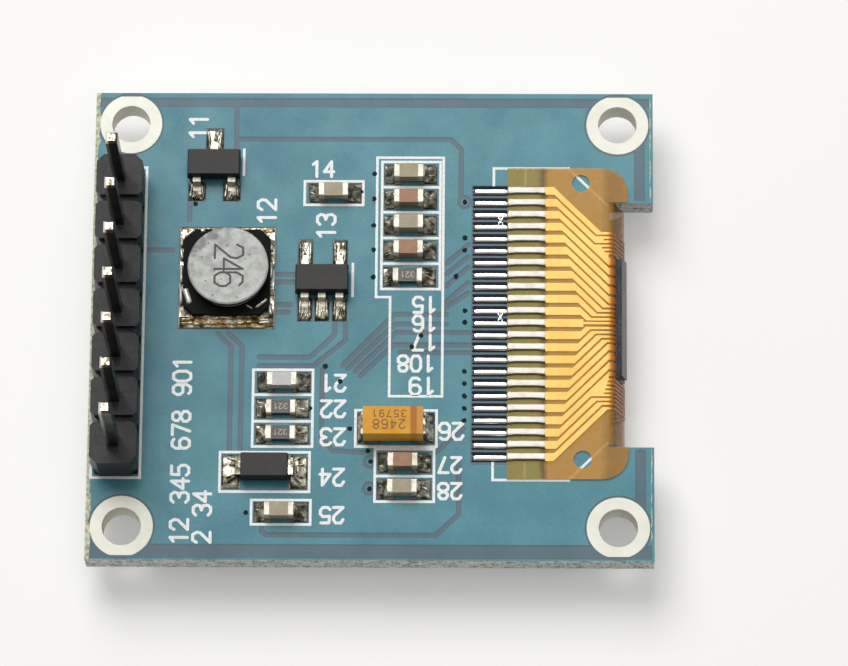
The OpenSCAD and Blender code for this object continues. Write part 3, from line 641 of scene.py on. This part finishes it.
def grown(corners, by):
    low, high = corners
    return rectangle((low[0] - by, low[1] - by), (high[0] + by, high[1] + by))


def lands():
    """Centre of each mounting land, from the hole spacing in the record."""
    holes = next(m for m in frame["record"]["mounts"] if m["name"] == "mounting_holes")["dims"]
    for side_x in (-0.5, 0.5):
        for side_y in (-0.5, 0.5):
            yield side_x * holes["spacing_x_mm"], side_y * holes["spacing_y_mm"]


def ring(x, y, radius, width):
    spots = disc(x, y, radius, 28)
    return stroke(spots + spots[:1], width)


def etched(by):
    """Outlines of everything etched away, drawn in by a given width from each edge."""
    cut = [cell for line in GAPS for cell in stroke(line, GAP_W - 2 * by)]
    cut += [cell for x, y in RINGED_VIAS for cell in ring(x, y, RING_R, RING_W - 2 * by)]
    cut += [grown(band, -by) for band in BANDS]
    cut += [disc(x, y, LAND_D / 2 + LAND_GAP - by, 40) for x, y in lands()]
    reach = FINGERS[0] + PITCH / 2
    cut.append(rectangle((BAR_LEFT - 0.06 + by, by - reach), (FILM_LEFT + 0.5, reach - by)))
    return cut


def lacquered_copper():
    """Copper areas under the lacquer, with a dark line where they end."""
    board = [rectangle(BOARD_LOW, BOARD_HIGH)]
    notch = rectangle((BOARD_HIGH.x - NOTCH[0], -NOTCH[1]), (BOARD_HIGH.x + 1, NOTCH[1]))
    holes = [disc(x, y, LAND_D / 2 - LAND_LIP, 40) for x, y in lands()]
    bare = [notch] + holes + [grown(pad, MASK_GAP) for pad in PADS]
    shape = Shape()
    flat_solid(shape, board, etched(0) + bare, TOP, MASK_TOP)
    shape.make("lacquered_copper", mask_look())
    rim = Shape()
    flat_solid(rim, etched(0), etched(RIM_W) + bare, TOP, (TOP + MASK_TOP) / 2)
    rim_look = Look("mask_rim")
    colour = mask_colour(rim_look, (0.034, 0.085, 0.115), (0.064, 0.130, 0.165))
    material = rim_look.done(colour, 0.4, rim_look.bump(rim_look.noise(5.0), 0.006))
    rim.make("etched_rims", material)


def vias():
    """Dark, ragged dots of painted shade where the lacquer has run into the via holes."""
    dots = Shape()
    for i, (x, y) in enumerate(VIAS):
        ragged = [(x + (px - x) * grow, y + (py - y) * grow) for px, py in disc(x, y, VIA_R)
                  for grow in [1 + RAGGED * noise.noise(Vector((px * 6, py * 6, i)))]]
        flat_solid(dots, [ragged], [], TOP, INK_TOP + LIFT)
    dots.make("via_shade_dots", LOOKS["via_shade"])


def sawn_strips():
    """Pale, ragged strips where the saw has bared the laminate on the left and right edges."""
    chance = random.Random(5)
    strips = Shape()
    whole = [(BOARD_LOW.y, BOARD_HIGH.y)]
    beside_notch = [(BOARD_LOW.y, -NOTCH[1]), (NOTCH[1], BOARD_HIGH.y)]
    for x, side, spans, wide in ((BOARD_LOW.x, 1, whole, LEFT_STRIP),
                                 (BOARD_HIGH.x, -1, beside_notch, RIGHT_STRIP)):
        for start, end in spans:
            count = int((end - start) / TOOTH)
            inner = [(x + side * chance.uniform(wide / 2, wide), start + (end - start) * i / count)
                     for i in range(count + 1)]
            outline = inner + [(x, end), (x, start)]
            flat_solid(strips, [outline], [], TOP, MASK_TOP + LIFT)
    look = Look("sawn_laminate")
    colour = look.ramp(look.noise(4.0, 3.0), [(0.35, (0.30, 0.34, 0.22)), (0.55, (0.60, 0.63, 0.44)),
                                              (0.7, (0.80, 0.80, 0.62))])
    material = look.done(colour, 0.8, look.bump(look.noise(9.0, 3.0), 0.03))
    strips.make("sawn_strips", material)


# How far the painted shadow stays inside the header's foot on its left, on its right and at its ends
FILL_LEFT = 0.12
FILL_RIGHT = 0.04
FILL_END = 0.1
FILL_LIFT = 0.004


def header_shade():
    """Painted shadow that darkens the notches along the header's foot."""
    low, high = box("header_insulator")
    outline = rectangle((low.x + FILL_LEFT, low.y + FILL_END), (high.x - FILL_RIGHT, high.y - FILL_END))
    shade = Shape()
    flat_solid(shade, [outline], [], TOP, MASK_TOP + FILL_LIFT)
    shade.make("header_shade", LOOKS["header_painted_shadow"])


sawn_strips()
header_shade()
lacquered_copper()
vias()


# ---- Solder ----

def bead(shape, start, end, width, low, height, seed, flat=0.0, steps=16, blunt=3.2):
    """A low bead of solder from start to end, with a wavy back, and flat over a share of its width.

    Its ends narrow the more quickly, the higher blunt is.
    """
    sides = 14 if flat else 8
    run = Vector(end) - Vector(start)
    along = run.normalized()
    across = Vector((-along.y, along.x))
    rows = []
    for i in range(steps + 1):
        t = i / steps
        taper = min(1.0, blunt * math.sqrt(max(0.0, min(t, 1 - t))) + 0.02)
        swell = 1 + 0.12 * noise.noise(Vector((seed * 3.1, t * 2.0, 0.5)))
        sway = 0.012 * noise.noise(Vector((seed * 1.7, t * 2.0, 9.5)))
        row = []
        for j in range(sides + 1):
            side = math.cos(math.pi * j / sides)
            spot = Vector(start) + run * t + across * (sway + width / 2 * taper * side)
            flank = min(1.0, (1 - abs(side)) / (1 - flat))
            rise = flank * flank * (3 - 2 * flank) if flat else math.sqrt(max(0.0, 1 - side * side))
            row.append((spot.x, spot.y, low + height * swell * taper * rise))
        rows.append(row[::-1])
    shape.sheet(rows)


def lump(shape, at, turn, width, run, rise, low, seed):
    """Solder that falls from a standing face to the far edge of its pad, at an angle of turn degrees."""
    steps, across = 9, 9
    spin = Matrix.Rotation(math.radians(turn), 2)
    rows = []
    for i in range(-1, steps + 1):
        u = max(i, 0) / steps
        row = []
        for j in range(across + 1):
            v = 2 * j / across - 1
            edge = max(0.0, 1 - abs(v) ** 3)
            fall = (1 - u) ** 1.7 * 0.85 + 0.15 * (1 - u ** 4)
            bumpy = 1 + 0.45 * noise.noise(Vector((u * 1.4, v * 0.9, seed * 5.3)))
            height = 0.0 if i < 0 or i == steps or j in (0, across) else rise * fall * edge * bumpy
            spot = spin @ Vector((u * run, v * width / 2))
            row.append((at[0] + spot.x, at[1] + spot.y, low + height))
        rows.append(row[::-1])
    shape.sheet(rows)


# Beads on the bars and fingers: width, steps along x, and how far above the copper they start
BEAD_W = 0.37
BEAD_STEPS = 24
BEAD_LIFT = 0.01
# Height, flat share of the width and shift along y of a bar's bead, and how far it runs over the film
BAR_BEAD_H = 0.10
BAR_BEAD_FLAT = 0.4
BAR_BEAD_Y = -0.01
BAR_BEAD_OVER = 0.16
# The same for a finger's bead, how far it starts left of the film, and how blunt its ends are
FINGER_BEAD_H = 0.04
FINGER_BEAD_FLAT = 0.6
FINGER_BEAD_Y = 0.04
FINGER_BEAD_OVER = 0.06
FINGER_BEAD_BACK = 0.02
FINGER_BEAD_BLUNT = 9
FINGER_SEED = 50
# Shift along y and width of the painted shadow lines beside a bar
BAR_LINES = ((0.225, 0.16), (-0.20, 0.09))
BAR_LINE_H = 0.04
# Width and height of the painted shade arch below a finger, and how far in and down the points of its ends
# lie
ARCH_W = 0.10
ARCH_H = 0.03
ARCH_LEFT = ((0.03, 0.20), (0.45, 0.150))
ARCH_RIGHT = ((0.45, 0.145), (0.03, 0.19))
# Places of the two whiskers, and half their spread, width, height and flat share
BRIDGES = [5.98, 0.38]
BRIDGE_X = 7.09
BRIDGE_HALF = (0.16, 0.22)
BRIDGE_W = 0.17
BRIDGE_H = 0.13
BRIDGE_FLAT = 0.3
# A point this far inside a lead or end cap lies over its pad
INSIDE = 0.05
# How high solder climbs an end cap of a chip or of the tantalum capacitor, as a share of its height
CHIP_CLIMB = 0.62
TANTALUM_CLIMB = 0.9
# How far solder reaches back under a formed lead
LEAD_BACK = 0.5
DIODE_BACK = 0.45


def finger_beads():
    """Beads on the bars and the film's fingers, one pair a finger, with painted shadow lines beside the bars
    and painted shade arches below the fingers.
    """
    board_side = Shape()
    film_side = Shape()
    shades = Shape()
    lines = Shape()
    film_top = box("film_fingers")[0].z
    for i, y in enumerate(FINGERS):
        bar_y = y + BAR_BEAD_Y
        bead(board_side, (BAR_LEFT, bar_y), (FILM_LEFT + BAR_BEAD_OVER, bar_y), BEAD_W, TOP + BEAD_LIFT,
             BAR_BEAD_H, i, BAR_BEAD_FLAT, BEAD_STEPS)
        # Painted shadow lines along each bar
        for shift, width in BAR_LINES:
            line = [(BAR_LEFT + width / 2, y + shift), (FILM_LEFT - width / 2, y + shift)]
            flat_solid(lines, stroke(line, width), [], TOP, TOP + BAR_LINE_H)
        finger_y = y + FINGER_BEAD_Y
        left = (FILM_LEFT - FINGER_BEAD_BACK, finger_y)
        right = (FINGER_RIGHT + FINGER_BEAD_OVER, finger_y)
        bead(film_side, left, right, BEAD_W, film_top, FINGER_BEAD_H, i + FINGER_SEED, FINGER_BEAD_FLAT,
             BEAD_STEPS, FINGER_BEAD_BLUNT)
        # Painted shade arch along the lower edge of the finger
        arch = [(FILM_LEFT + inset, y - fall) for inset, fall in ARCH_LEFT]
        arch += [(FINGER_RIGHT - inset, y - fall) for inset, fall in ARCH_RIGHT]
        flat_solid(shades, stroke(arch, ARCH_W), [], film_top, film_top + ARCH_H)
    board_side.make("bar_beads", bar_look(), True, ["finger_solder_bars"])
    lines.make("bar_shadows", LOOKS["bar_painted_shadow"])
    tin = tin_look("finger_tin", (0.80, 0.74, 0.64), (0.92, 0.88, 0.80), (0.4, 0.55), 0.1)
    film_side.make("finger_beads", tin, True, ["film_fingers"])
    shades.make("finger_shade_arches", LOOKS["finger_painted_shade"])


def bridges():
    """Crossed whiskers of solder between two pairs of bars."""
    half_x, half_y = BRIDGE_HALF
    shape = Shape()
    for i, y in enumerate(BRIDGES):
        for tilt in (-1, 1):
            start = (BRIDGE_X - half_x, y - tilt * half_y)
            end = (BRIDGE_X + half_x, y + tilt * half_y)
            bead(shape, start, end, BRIDGE_W, TOP + BEAD_LIFT, BRIDGE_H, i * 2 + tilt, BRIDGE_FLAT)
    shape.make("bar_bridges", bar_look(), True)


def end_solder(shape, low, high, share, chance):
    """Solder at both ends of a part that lies along x, out to the edges of its pads."""
    y = (low.y + high.y) / 2
    for x, side in ((low.x, -1), (high.x, 1)):
        pad_low, pad_high = pad_at(x + side * INSIDE, y)
        out = pad_high.x - x if side > 0 else x - pad_low.x
        turn = 0 if side > 0 else 180
        middle_y = (pad_low.y + pad_high.y) / 2
        lump(shape, (x, middle_y), turn, pad_high.y - pad_low.y, out, share * (high.z - low.z), PAD_TOP,
             chance.uniform(0, 50))
        for reach in (0.75, 1.0):
            start = (x, middle_y + chance.uniform(-0.3, 0.3))
            end = (x + side * out * reach * 0.95, middle_y + chance.uniform(-0.4, 0.4))
            bead(shape, start, end, chance.uniform(0.12, 0.22), PAD_TOP, chance.uniform(0.16, 0.24),
                 chance.uniform(0, 50), 0.0, 8)


def lead_solder(shape, name, chance):
    """Flared solder on both sides of each formed lead, out to the edges of its pad."""
    body_y = middle(name + "_body").y
    for low, high in islands(name + "_leads"):
        x = (low.x + high.x) / 2
        side = 1 if (low.y + high.y) / 2 > body_y else -1
        toe = high.y if side > 0 else low.y
        pad_low, pad_high = pad_at(x, toe - side * INSIDE)
        far = pad_high.y if side > 0 else pad_low.y
        width = pad_high.x - pad_low.x
        lump(shape, (x, toe - side * LEAD_BACK), 90 * side, width, abs(far - toe) + LEAD_BACK, 0.20, PAD_TOP,
             chance.uniform(0, 50))
        for flank in (-1, 1):
            start = (x + flank * 0.24, toe - side * LEAD_BACK)
            end = (x + flank * (width / 2 - 0.1), far - side * 0.06)
            bead(shape, start, end, 0.20, PAD_TOP, 0.20, chance.uniform(0, 50), 0.0, 10)
        for _ in range(3):
            start = (x + chance.uniform(-0.1, 0.1), toe + side * 0.05)
            end = (x + chance.uniform(-0.3, 0.3), far - side * 0.05)
            bead(shape, start, end, 0.14, PAD_TOP, 0.15, chance.uniform(0, 50), 0.0, 8)


# Place along y and width of each streak of solder beside the diode
DIODE_STREAKS = ((-0.88, 0.20), (-0.55, 0.12), (0.25, 0.10), (0.7, 0.16))


def diode_solder(shape, chance):
    """Streaks of solder that fan out from each lead of the diode."""
    body = middle("diode_body")
    for low, high in islands("diode_leads"):
        side = 1 if (low.x + high.x) / 2 > body.x else -1
        toe = high.x if side > 0 else low.x
        pad_low, pad_high = pad_at(toe - side * INSIDE, body.y)
        far = pad_high.x if side > 0 else pad_low.x
        root = toe - side * DIODE_BACK
        lump(shape, (root, (pad_low.y + pad_high.y) / 2), 0 if side > 0 else 180, pad_high.y - pad_low.y,
             abs(far - root), 0.22, PAD_TOP, chance.uniform(0, 50))
        for spread, width in DIODE_STREAKS:
            end = (far - side * chance.uniform(0.06, 0.4), body.y + spread)
            bead(shape, (root, body.y + spread * 0.4), end, width, PAD_TOP, 0.24, chance.uniform(0, 50),
                 0.0, 10)


def solder_lumps():
    chance = random.Random(11)
    shape = Shape()
    for chip in CHIPS:
        end_solder(shape, *box(chip + "_ends"), CHIP_CLIMB, chance)
    lead_solder(shape, "transistor", chance)
    lead_solder(shape, "regulator", chance)
    diode_solder(shape, chance)
    end_solder(shape, *box("tantalum_terminals"), TANTALUM_CLIMB, chance)
    shape.make("solder_lumps", LOOKS["solder"], True, ["solder_fillets"])


def coil_solder():
    """Ragged solder strips in front of and behind the inductor, and along its sides."""
    chance = random.Random(23)
    shape = Shape()
    low, high = box("inductor_terminals")
    middle_x = (low.x + high.x) / 2
    near_front = low.y + 0.1
    front = pad_at(middle_x, low.y - INSIDE)[0].y
    back = pad_at(middle_x, high.y - INSIDE)[1].y
    lump(shape, (middle_x, near_front), -90, high.x - low.x, near_front - front, 0.42, PAD_TOP, 3)
    lump(shape, (middle_x, high.y), 90, high.x - low.x, back - high.y, 0.2, PAD_TOP, 4)
    for near, far, tall in ((low.y + 0.02, front + 0.08, 0.40), (high.y, back - 0.06, 0.2)):
        x = low.x
        while x < high.x - 0.3:
            run = min(chance.uniform(0.35, 0.95), high.x - x)
            for share in (0.25, 0.75):
                y = near + (far - near) * (share + chance.uniform(-0.18, 0.18))
                end = (x + run, y + chance.uniform(-0.08, 0.08))
                bead(shape, (x, y), end, chance.uniform(0.12, 0.24), PAD_TOP, tall * (1.15 - 0.6 * share),
                     chance.uniform(0, 50), 0.0, 8)
            x += run * 0.8
    brown = solder_look("flux_solder", ((0.32, (0.10, 0.055, 0.02)), (0.44, (0.52, 0.36, 0.16)),
                                        (0.56, (0.88, 0.76, 0.56)), (0.70, (0.95, 0.93, 0.88))))
    shape.make("coil_solder", brown, True)
    bits = Shape()
    for start, end, width, base, tall in COIL_BITS:
        bead(bits, start, end, width, TOP + base, tall, start[0] + end[1], 0.0, 8)
    wire = tin_look("wire_ends", (0.46, 0.40, 0.30), (0.88, 0.86, 0.80), (0.12, 0.25))
    bits.make("coil_bits", wire, True)


# Loose ends of wire and flakes of tin round the inductor: start, end, width, base and height
COIL_BITS = [
    ((-6.43, 0.62), (-5.75, 1.16), 0.15, 0.86, 0.12),
    ((-6.92, 0.80), (-6.57, 0.56), 0.09, 0.86, 0.10),
    ((-10.35, 1.80), (-10.02, 0.82), 0.34, 0.80, 0.16),
    ((-10.42, 4.70), (-9.82, 5.20), 0.16, 0.84, 0.14),
    ((-9.52, 5.08), (-9.28, 5.14), 0.22, 0.84, 0.14),
    ((-5.62, 4.45), (-5.60, 4.08), 0.20, 0.30, 0.22),
    ((-5.60, 3.55), (-5.62, 2.55), 0.24, 0.20, 0.14),
    ((-10.58, 4.85), (-10.56, 4.30), 0.22, 0.30, 0.35),
    ((-10.60, 4.15), (-10.52, 3.50), 0.22, 0.30, 0.30),
    ((-10.56, 3.35), (-10.56, 2.10), 0.20, 0.30, 0.32),
    ((-10.58, 1.95), (-10.54, 0.90), 0.22, 0.30, 0.34),
    ((-5.66, 0.95), (-5.56, 0.35), 0.24, 0.34, 0.30),
]
finger_beads()
bridges()
solder_lumps()
coil_solder()


# ---- Plain numbers in place of words and markings ----

# Strokes of each digit in a cell 0.6 wide and 1 high
DIGITS = {
    "0": [[(0, 0.25), (0.15, 0), (0.45, 0), (0.6, 0.25), (0.6, 0.75), (0.45, 1), (0.15, 1), (0, 0.75),
           (0, 0.25)]],
    "1": [[(0.1, 0.8), (0.34, 1), (0.34, 0)]],
    "2": [[(0, 0.78), (0.14, 1), (0.46, 1), (0.6, 0.78), (0.56, 0.56), (0, 0), (0.6, 0)]],
    "3": [[(0, 0.86), (0.16, 1), (0.46, 1), (0.6, 0.82), (0.56, 0.62), (0.3, 0.53), (0.56, 0.44), (0.6, 0.18),
           (0.46, 0), (0.16, 0), (0, 0.14)]],
    "4": [[(0.46, 0), (0.46, 1), (0, 0.32), (0.6, 0.32)]],
    "5": [[(0.56, 1), (0.06, 1), (0.03, 0.56), (0.44, 0.6), (0.6, 0.42), (0.6, 0.18), (0.44, 0), (0.14, 0),
           (0, 0.14)]],
    "6": [[(0.54, 0.9), (0.42, 1), (0.15, 1), (0, 0.78), (0, 0.2), (0.15, 0), (0.45, 0), (0.6, 0.2),
           (0.6, 0.4), (0.45, 0.56), (0.15, 0.56), (0, 0.4)]],
    "7": [[(0, 1), (0.6, 1), (0.22, 0)]],
    "8": [[(0.3, 0.53), (0.04, 0.66), (0.04, 0.84), (0.16, 1), (0.44, 1), (0.56, 0.84), (0.56, 0.66),
           (0.3, 0.53), (0, 0.38), (0, 0.16), (0.15, 0), (0.45, 0), (0.6, 0.16), (0.6, 0.38), (0.3, 0.53)]],
    "9": [[(0.06, 0.1), (0.18, 0), (0.45, 0), (0.6, 0.22), (0.6, 0.8), (0.45, 1), (0.15, 1), (0, 0.8),
           (0, 0.6), (0.15, 0.44), (0.45, 0.44), (0.6, 0.6)]],
}
# Number, middle and turn of each label on the board, and its height
LABELS = [
    ("11", (-9.80, 11.50), 90, 0.98), ("12", (-5.91, 6.52), 90, 0.98), ("13", (-2.60, 5.66), 90, 0.98),
    ("14", (-2.84, 9.02), 0, 0.88), ("15", (2.9, 1.10), 180, 0.88), ("16", (2.9, 0.02), 180, 0.88),
    ("17", (2.9, -1.08), 180, 0.88), ("108", (2.45, -2.30), 180, 0.88), ("19", (2.8, -3.60), 180, 0.94),
    ("21", (-2.08, -3.44), 180, 0.92), ("22", (-2.08, -4.92), 180, 0.92), ("23", (-2.08, -6.52), 180, 0.92),
    ("24", (-2.10, -8.82), 180, 0.92), ("25", (-2.08, -10.98), 180, 0.88), ("26", (4.42, -6.18), 180, 0.92),
    ("27", (4.36, -8.11), 180, 0.86), ("28", (4.36, -9.59), 180, 0.88),
    ("12 345 678 901", (-10.42, -7.30), 90, 0.95), ("2 34", (-9.18, -11.10), 90, 0.95),
]


# Stroke of the print on the board, and how far a part's own number is sunk and stands proud
PRINT_W = 0.17
SUNK = 0.01
PROUD = 0.006
DRUM_PROUD = 0.008


def number(shape, text, at, turn, height, width, low, high, wide=1.0, pitch=0.81):
    """Writes digits round a middle, as strokes of the given width between two levels.

    Wide stretches each digit across, and pitch is the step between digits in digit heights.
    """
    step = pitch * height
    left = -((len(text) - 1) * step + 0.6 * height * wide) / 2
    spin = Matrix.Rotation(math.radians(turn), 2)
    cells = []
    for i, digit in enumerate(text):
        for line in DIGITS.get(digit, []):
            start = left + i * step
            spots = [spin @ Vector((start + x * height * wide, (y - 0.5) * height)) for x, y in line]
            cells += stroke([(at[0] + spot.x, at[1] + spot.y) for spot in spots], width)
    flat_solid(shape, cells, [], low, high)


def numbers():
    board = Shape()
    for text, at, turn, height in LABELS:
        number(board, text, at, turn, height, PRINT_W, TOP, INK_TOP)
    board.make("printed_numbers", LOOKS["white_ink"])
    dark = Shape()
    at = middle("inductor_drum")
    top = box("inductor_drum")[1].z
    number(dark, "246", (at.x + 0.05, at.y), -90, 1.55, 0.12, top - SUNK, top + DRUM_PROUD, 0.85, 0.52)
    dark.make("drum_number", LOOKS["dark_marking"])
    brown = Shape()
    low, high = box("tantalum_body")
    x = low.x + 1.44
    number(brown, "35791", (x, high.y - 0.48), 180, 0.38, 0.06, high.z - SUNK, high.z + PROUD, 1.0, 1.05)
    number(brown, "2468", (x, high.y - 1.08), 180, 0.50, 0.07, high.z - SUNK, high.z + PROUD, 1.0, 0.95)
    brown.make("tantalum_number", LOOKS["burnt_marking"])
    pale = Shape()
    for i in (1, 2, 3):
        low, high = box(f"resistor_{i}_body")
        at = ((low.x + high.x) / 2, (low.y + high.y) / 2)
        number(pale, "321", at, 180, 0.30, 0.05, high.z - SUNK, high.z + PROUD, 1.0, 0.9)
    pale.make("resistor_numbers", LOOKS["pale_marking"])


numbers()


# ---- Floor, light and camera ----

FLOOR_HALF = 1.6
FLOOR_GLOW = 0.30
# Height in the room's sphere and brightness there, from the horizon up
ROOM = [(0.0, 1.0), (0.08, 1.0), (0.16, 0.25), (0.40, 0.05), (0.78, 0.05), (0.89, 0.82), (1.0, 0.90)]


def floor():
    """A white sheet that keeps its shadows, and stays white to the camera and in reflections."""
    mesh = bpy.data.meshes.new("floor")
    corners = rectangle((-FLOOR_HALF, -FLOOR_HALF), (FLOOR_HALF, FLOOR_HALF))
    mesh.from_pydata([(x, y, 0) for x, y in corners], [], [[0, 1, 2, 3]])
    look = Look("floor_white")
    diffuse = look.add("ShaderNodeBsdfDiffuse", {"Color": (0.70, 0.695, 0.68, 1)})
    glow = look.add("ShaderNodeEmission", {"Color": (1.0, 0.99, 0.97, 1)})
    path = look.add("ShaderNodeLightPath").outputs
    seen = look.math("MAXIMUM", path["Is Camera Ray"], path["Is Glossy Ray"])
    seen = look.math("MAXIMUM", seen, path["Is Transmission Ray"])
    look.put(glow.inputs["Strength"], look.math("MULTIPLY", seen, FLOOR_GLOW))
    both = look.add("ShaderNodeAddShader", {0: diffuse.outputs[0], 1: glow.outputs[0]})
    look.add("ShaderNodeOutputMaterial", {0: both.outputs[0]})
    mesh.materials.append(look.material)
    plane = bpy.data.objects.new("floor", mesh)
    bpy.context.scene.collection.objects.link(plane)


def world():
    """A studio with a white sweep, dim walls and a soft bright ceiling."""
    sky = bpy.data.worlds.new("studio")
    bpy.context.scene.world = sky
    sky.use_nodes = True
    tree = sky.node_tree
    tree.nodes.clear()
    coords = tree.nodes.new("ShaderNodeTexCoord")
    split = tree.nodes.new("ShaderNodeSeparateXYZ")
    ramp = tree.nodes.new("ShaderNodeValToRGB")
    room = tree.nodes.new("ShaderNodeBackground")
    out = tree.nodes.new("ShaderNodeOutputWorld")
    tree.links.new(coords.outputs["Generated"], split.inputs[0])
    tree.links.new(split.outputs[2], ramp.inputs[0])
    tree.links.new(ramp.outputs[0], room.inputs["Color"])
    tree.links.new(room.outputs[0], out.inputs[0])
    elements = ramp.color_ramp.elements
    while len(elements) < len(ROOM):
        elements.new(1.0)
    for element, (position, level) in zip(elements, ROOM):
        element.position = position
        element.color = (level, level * 0.985, level * 0.95, 1)


def area_light(name, at, size, watts):
    """A soft square lamp that faces the middle of the board."""
    data = bpy.data.lights.new(name, "AREA")
    data.shape = "SQUARE"
    data.size = size
    data.energy = watts
    lamp = bpy.data.objects.new(name, data)
    lamp.location = at
    lamp.rotation_euler = (Vector((0, 0, 0)) - Vector(at)).to_track_quat("-Z", "Y").to_euler()
    bpy.context.scene.collection.objects.link(lamp)


def camera():
    """About 300 mm away and 17 degrees off the board's normal, towards the near edge."""
    data = bpy.data.cameras.new("camera")
    data.sensor_width = 36.0
    data.lens = 233.25
    data.clip_start = 0.01
    data.clip_end = 20.0
    lens = bpy.data.objects.new("camera", data)
    right = Vector((0.99985757, 0.00796732, -0.01487846))
    back = Vector((0.01657842, -0.29844475, 0.95428292))
    up = back.cross(right)
    place = Matrix((right, up, back)).transposed().to_4x4()
    place.translation = Vector((7.9075, -91.0177, 289.3611 + TOP)) * MM
    lens.matrix_world = place
    bpy.context.scene.collection.objects.link(lens)
    bpy.context.scene.camera = lens


floor()
world()
area_light("key", at=(-0.11, 0.27, 0.42), size=0.34, watts=2.05)
area_light("fill", at=(0.16, 0.02, 0.52), size=0.40, watts=0.12)
camera()
bpy.context.scene.view_settings.view_transform = "Standard"
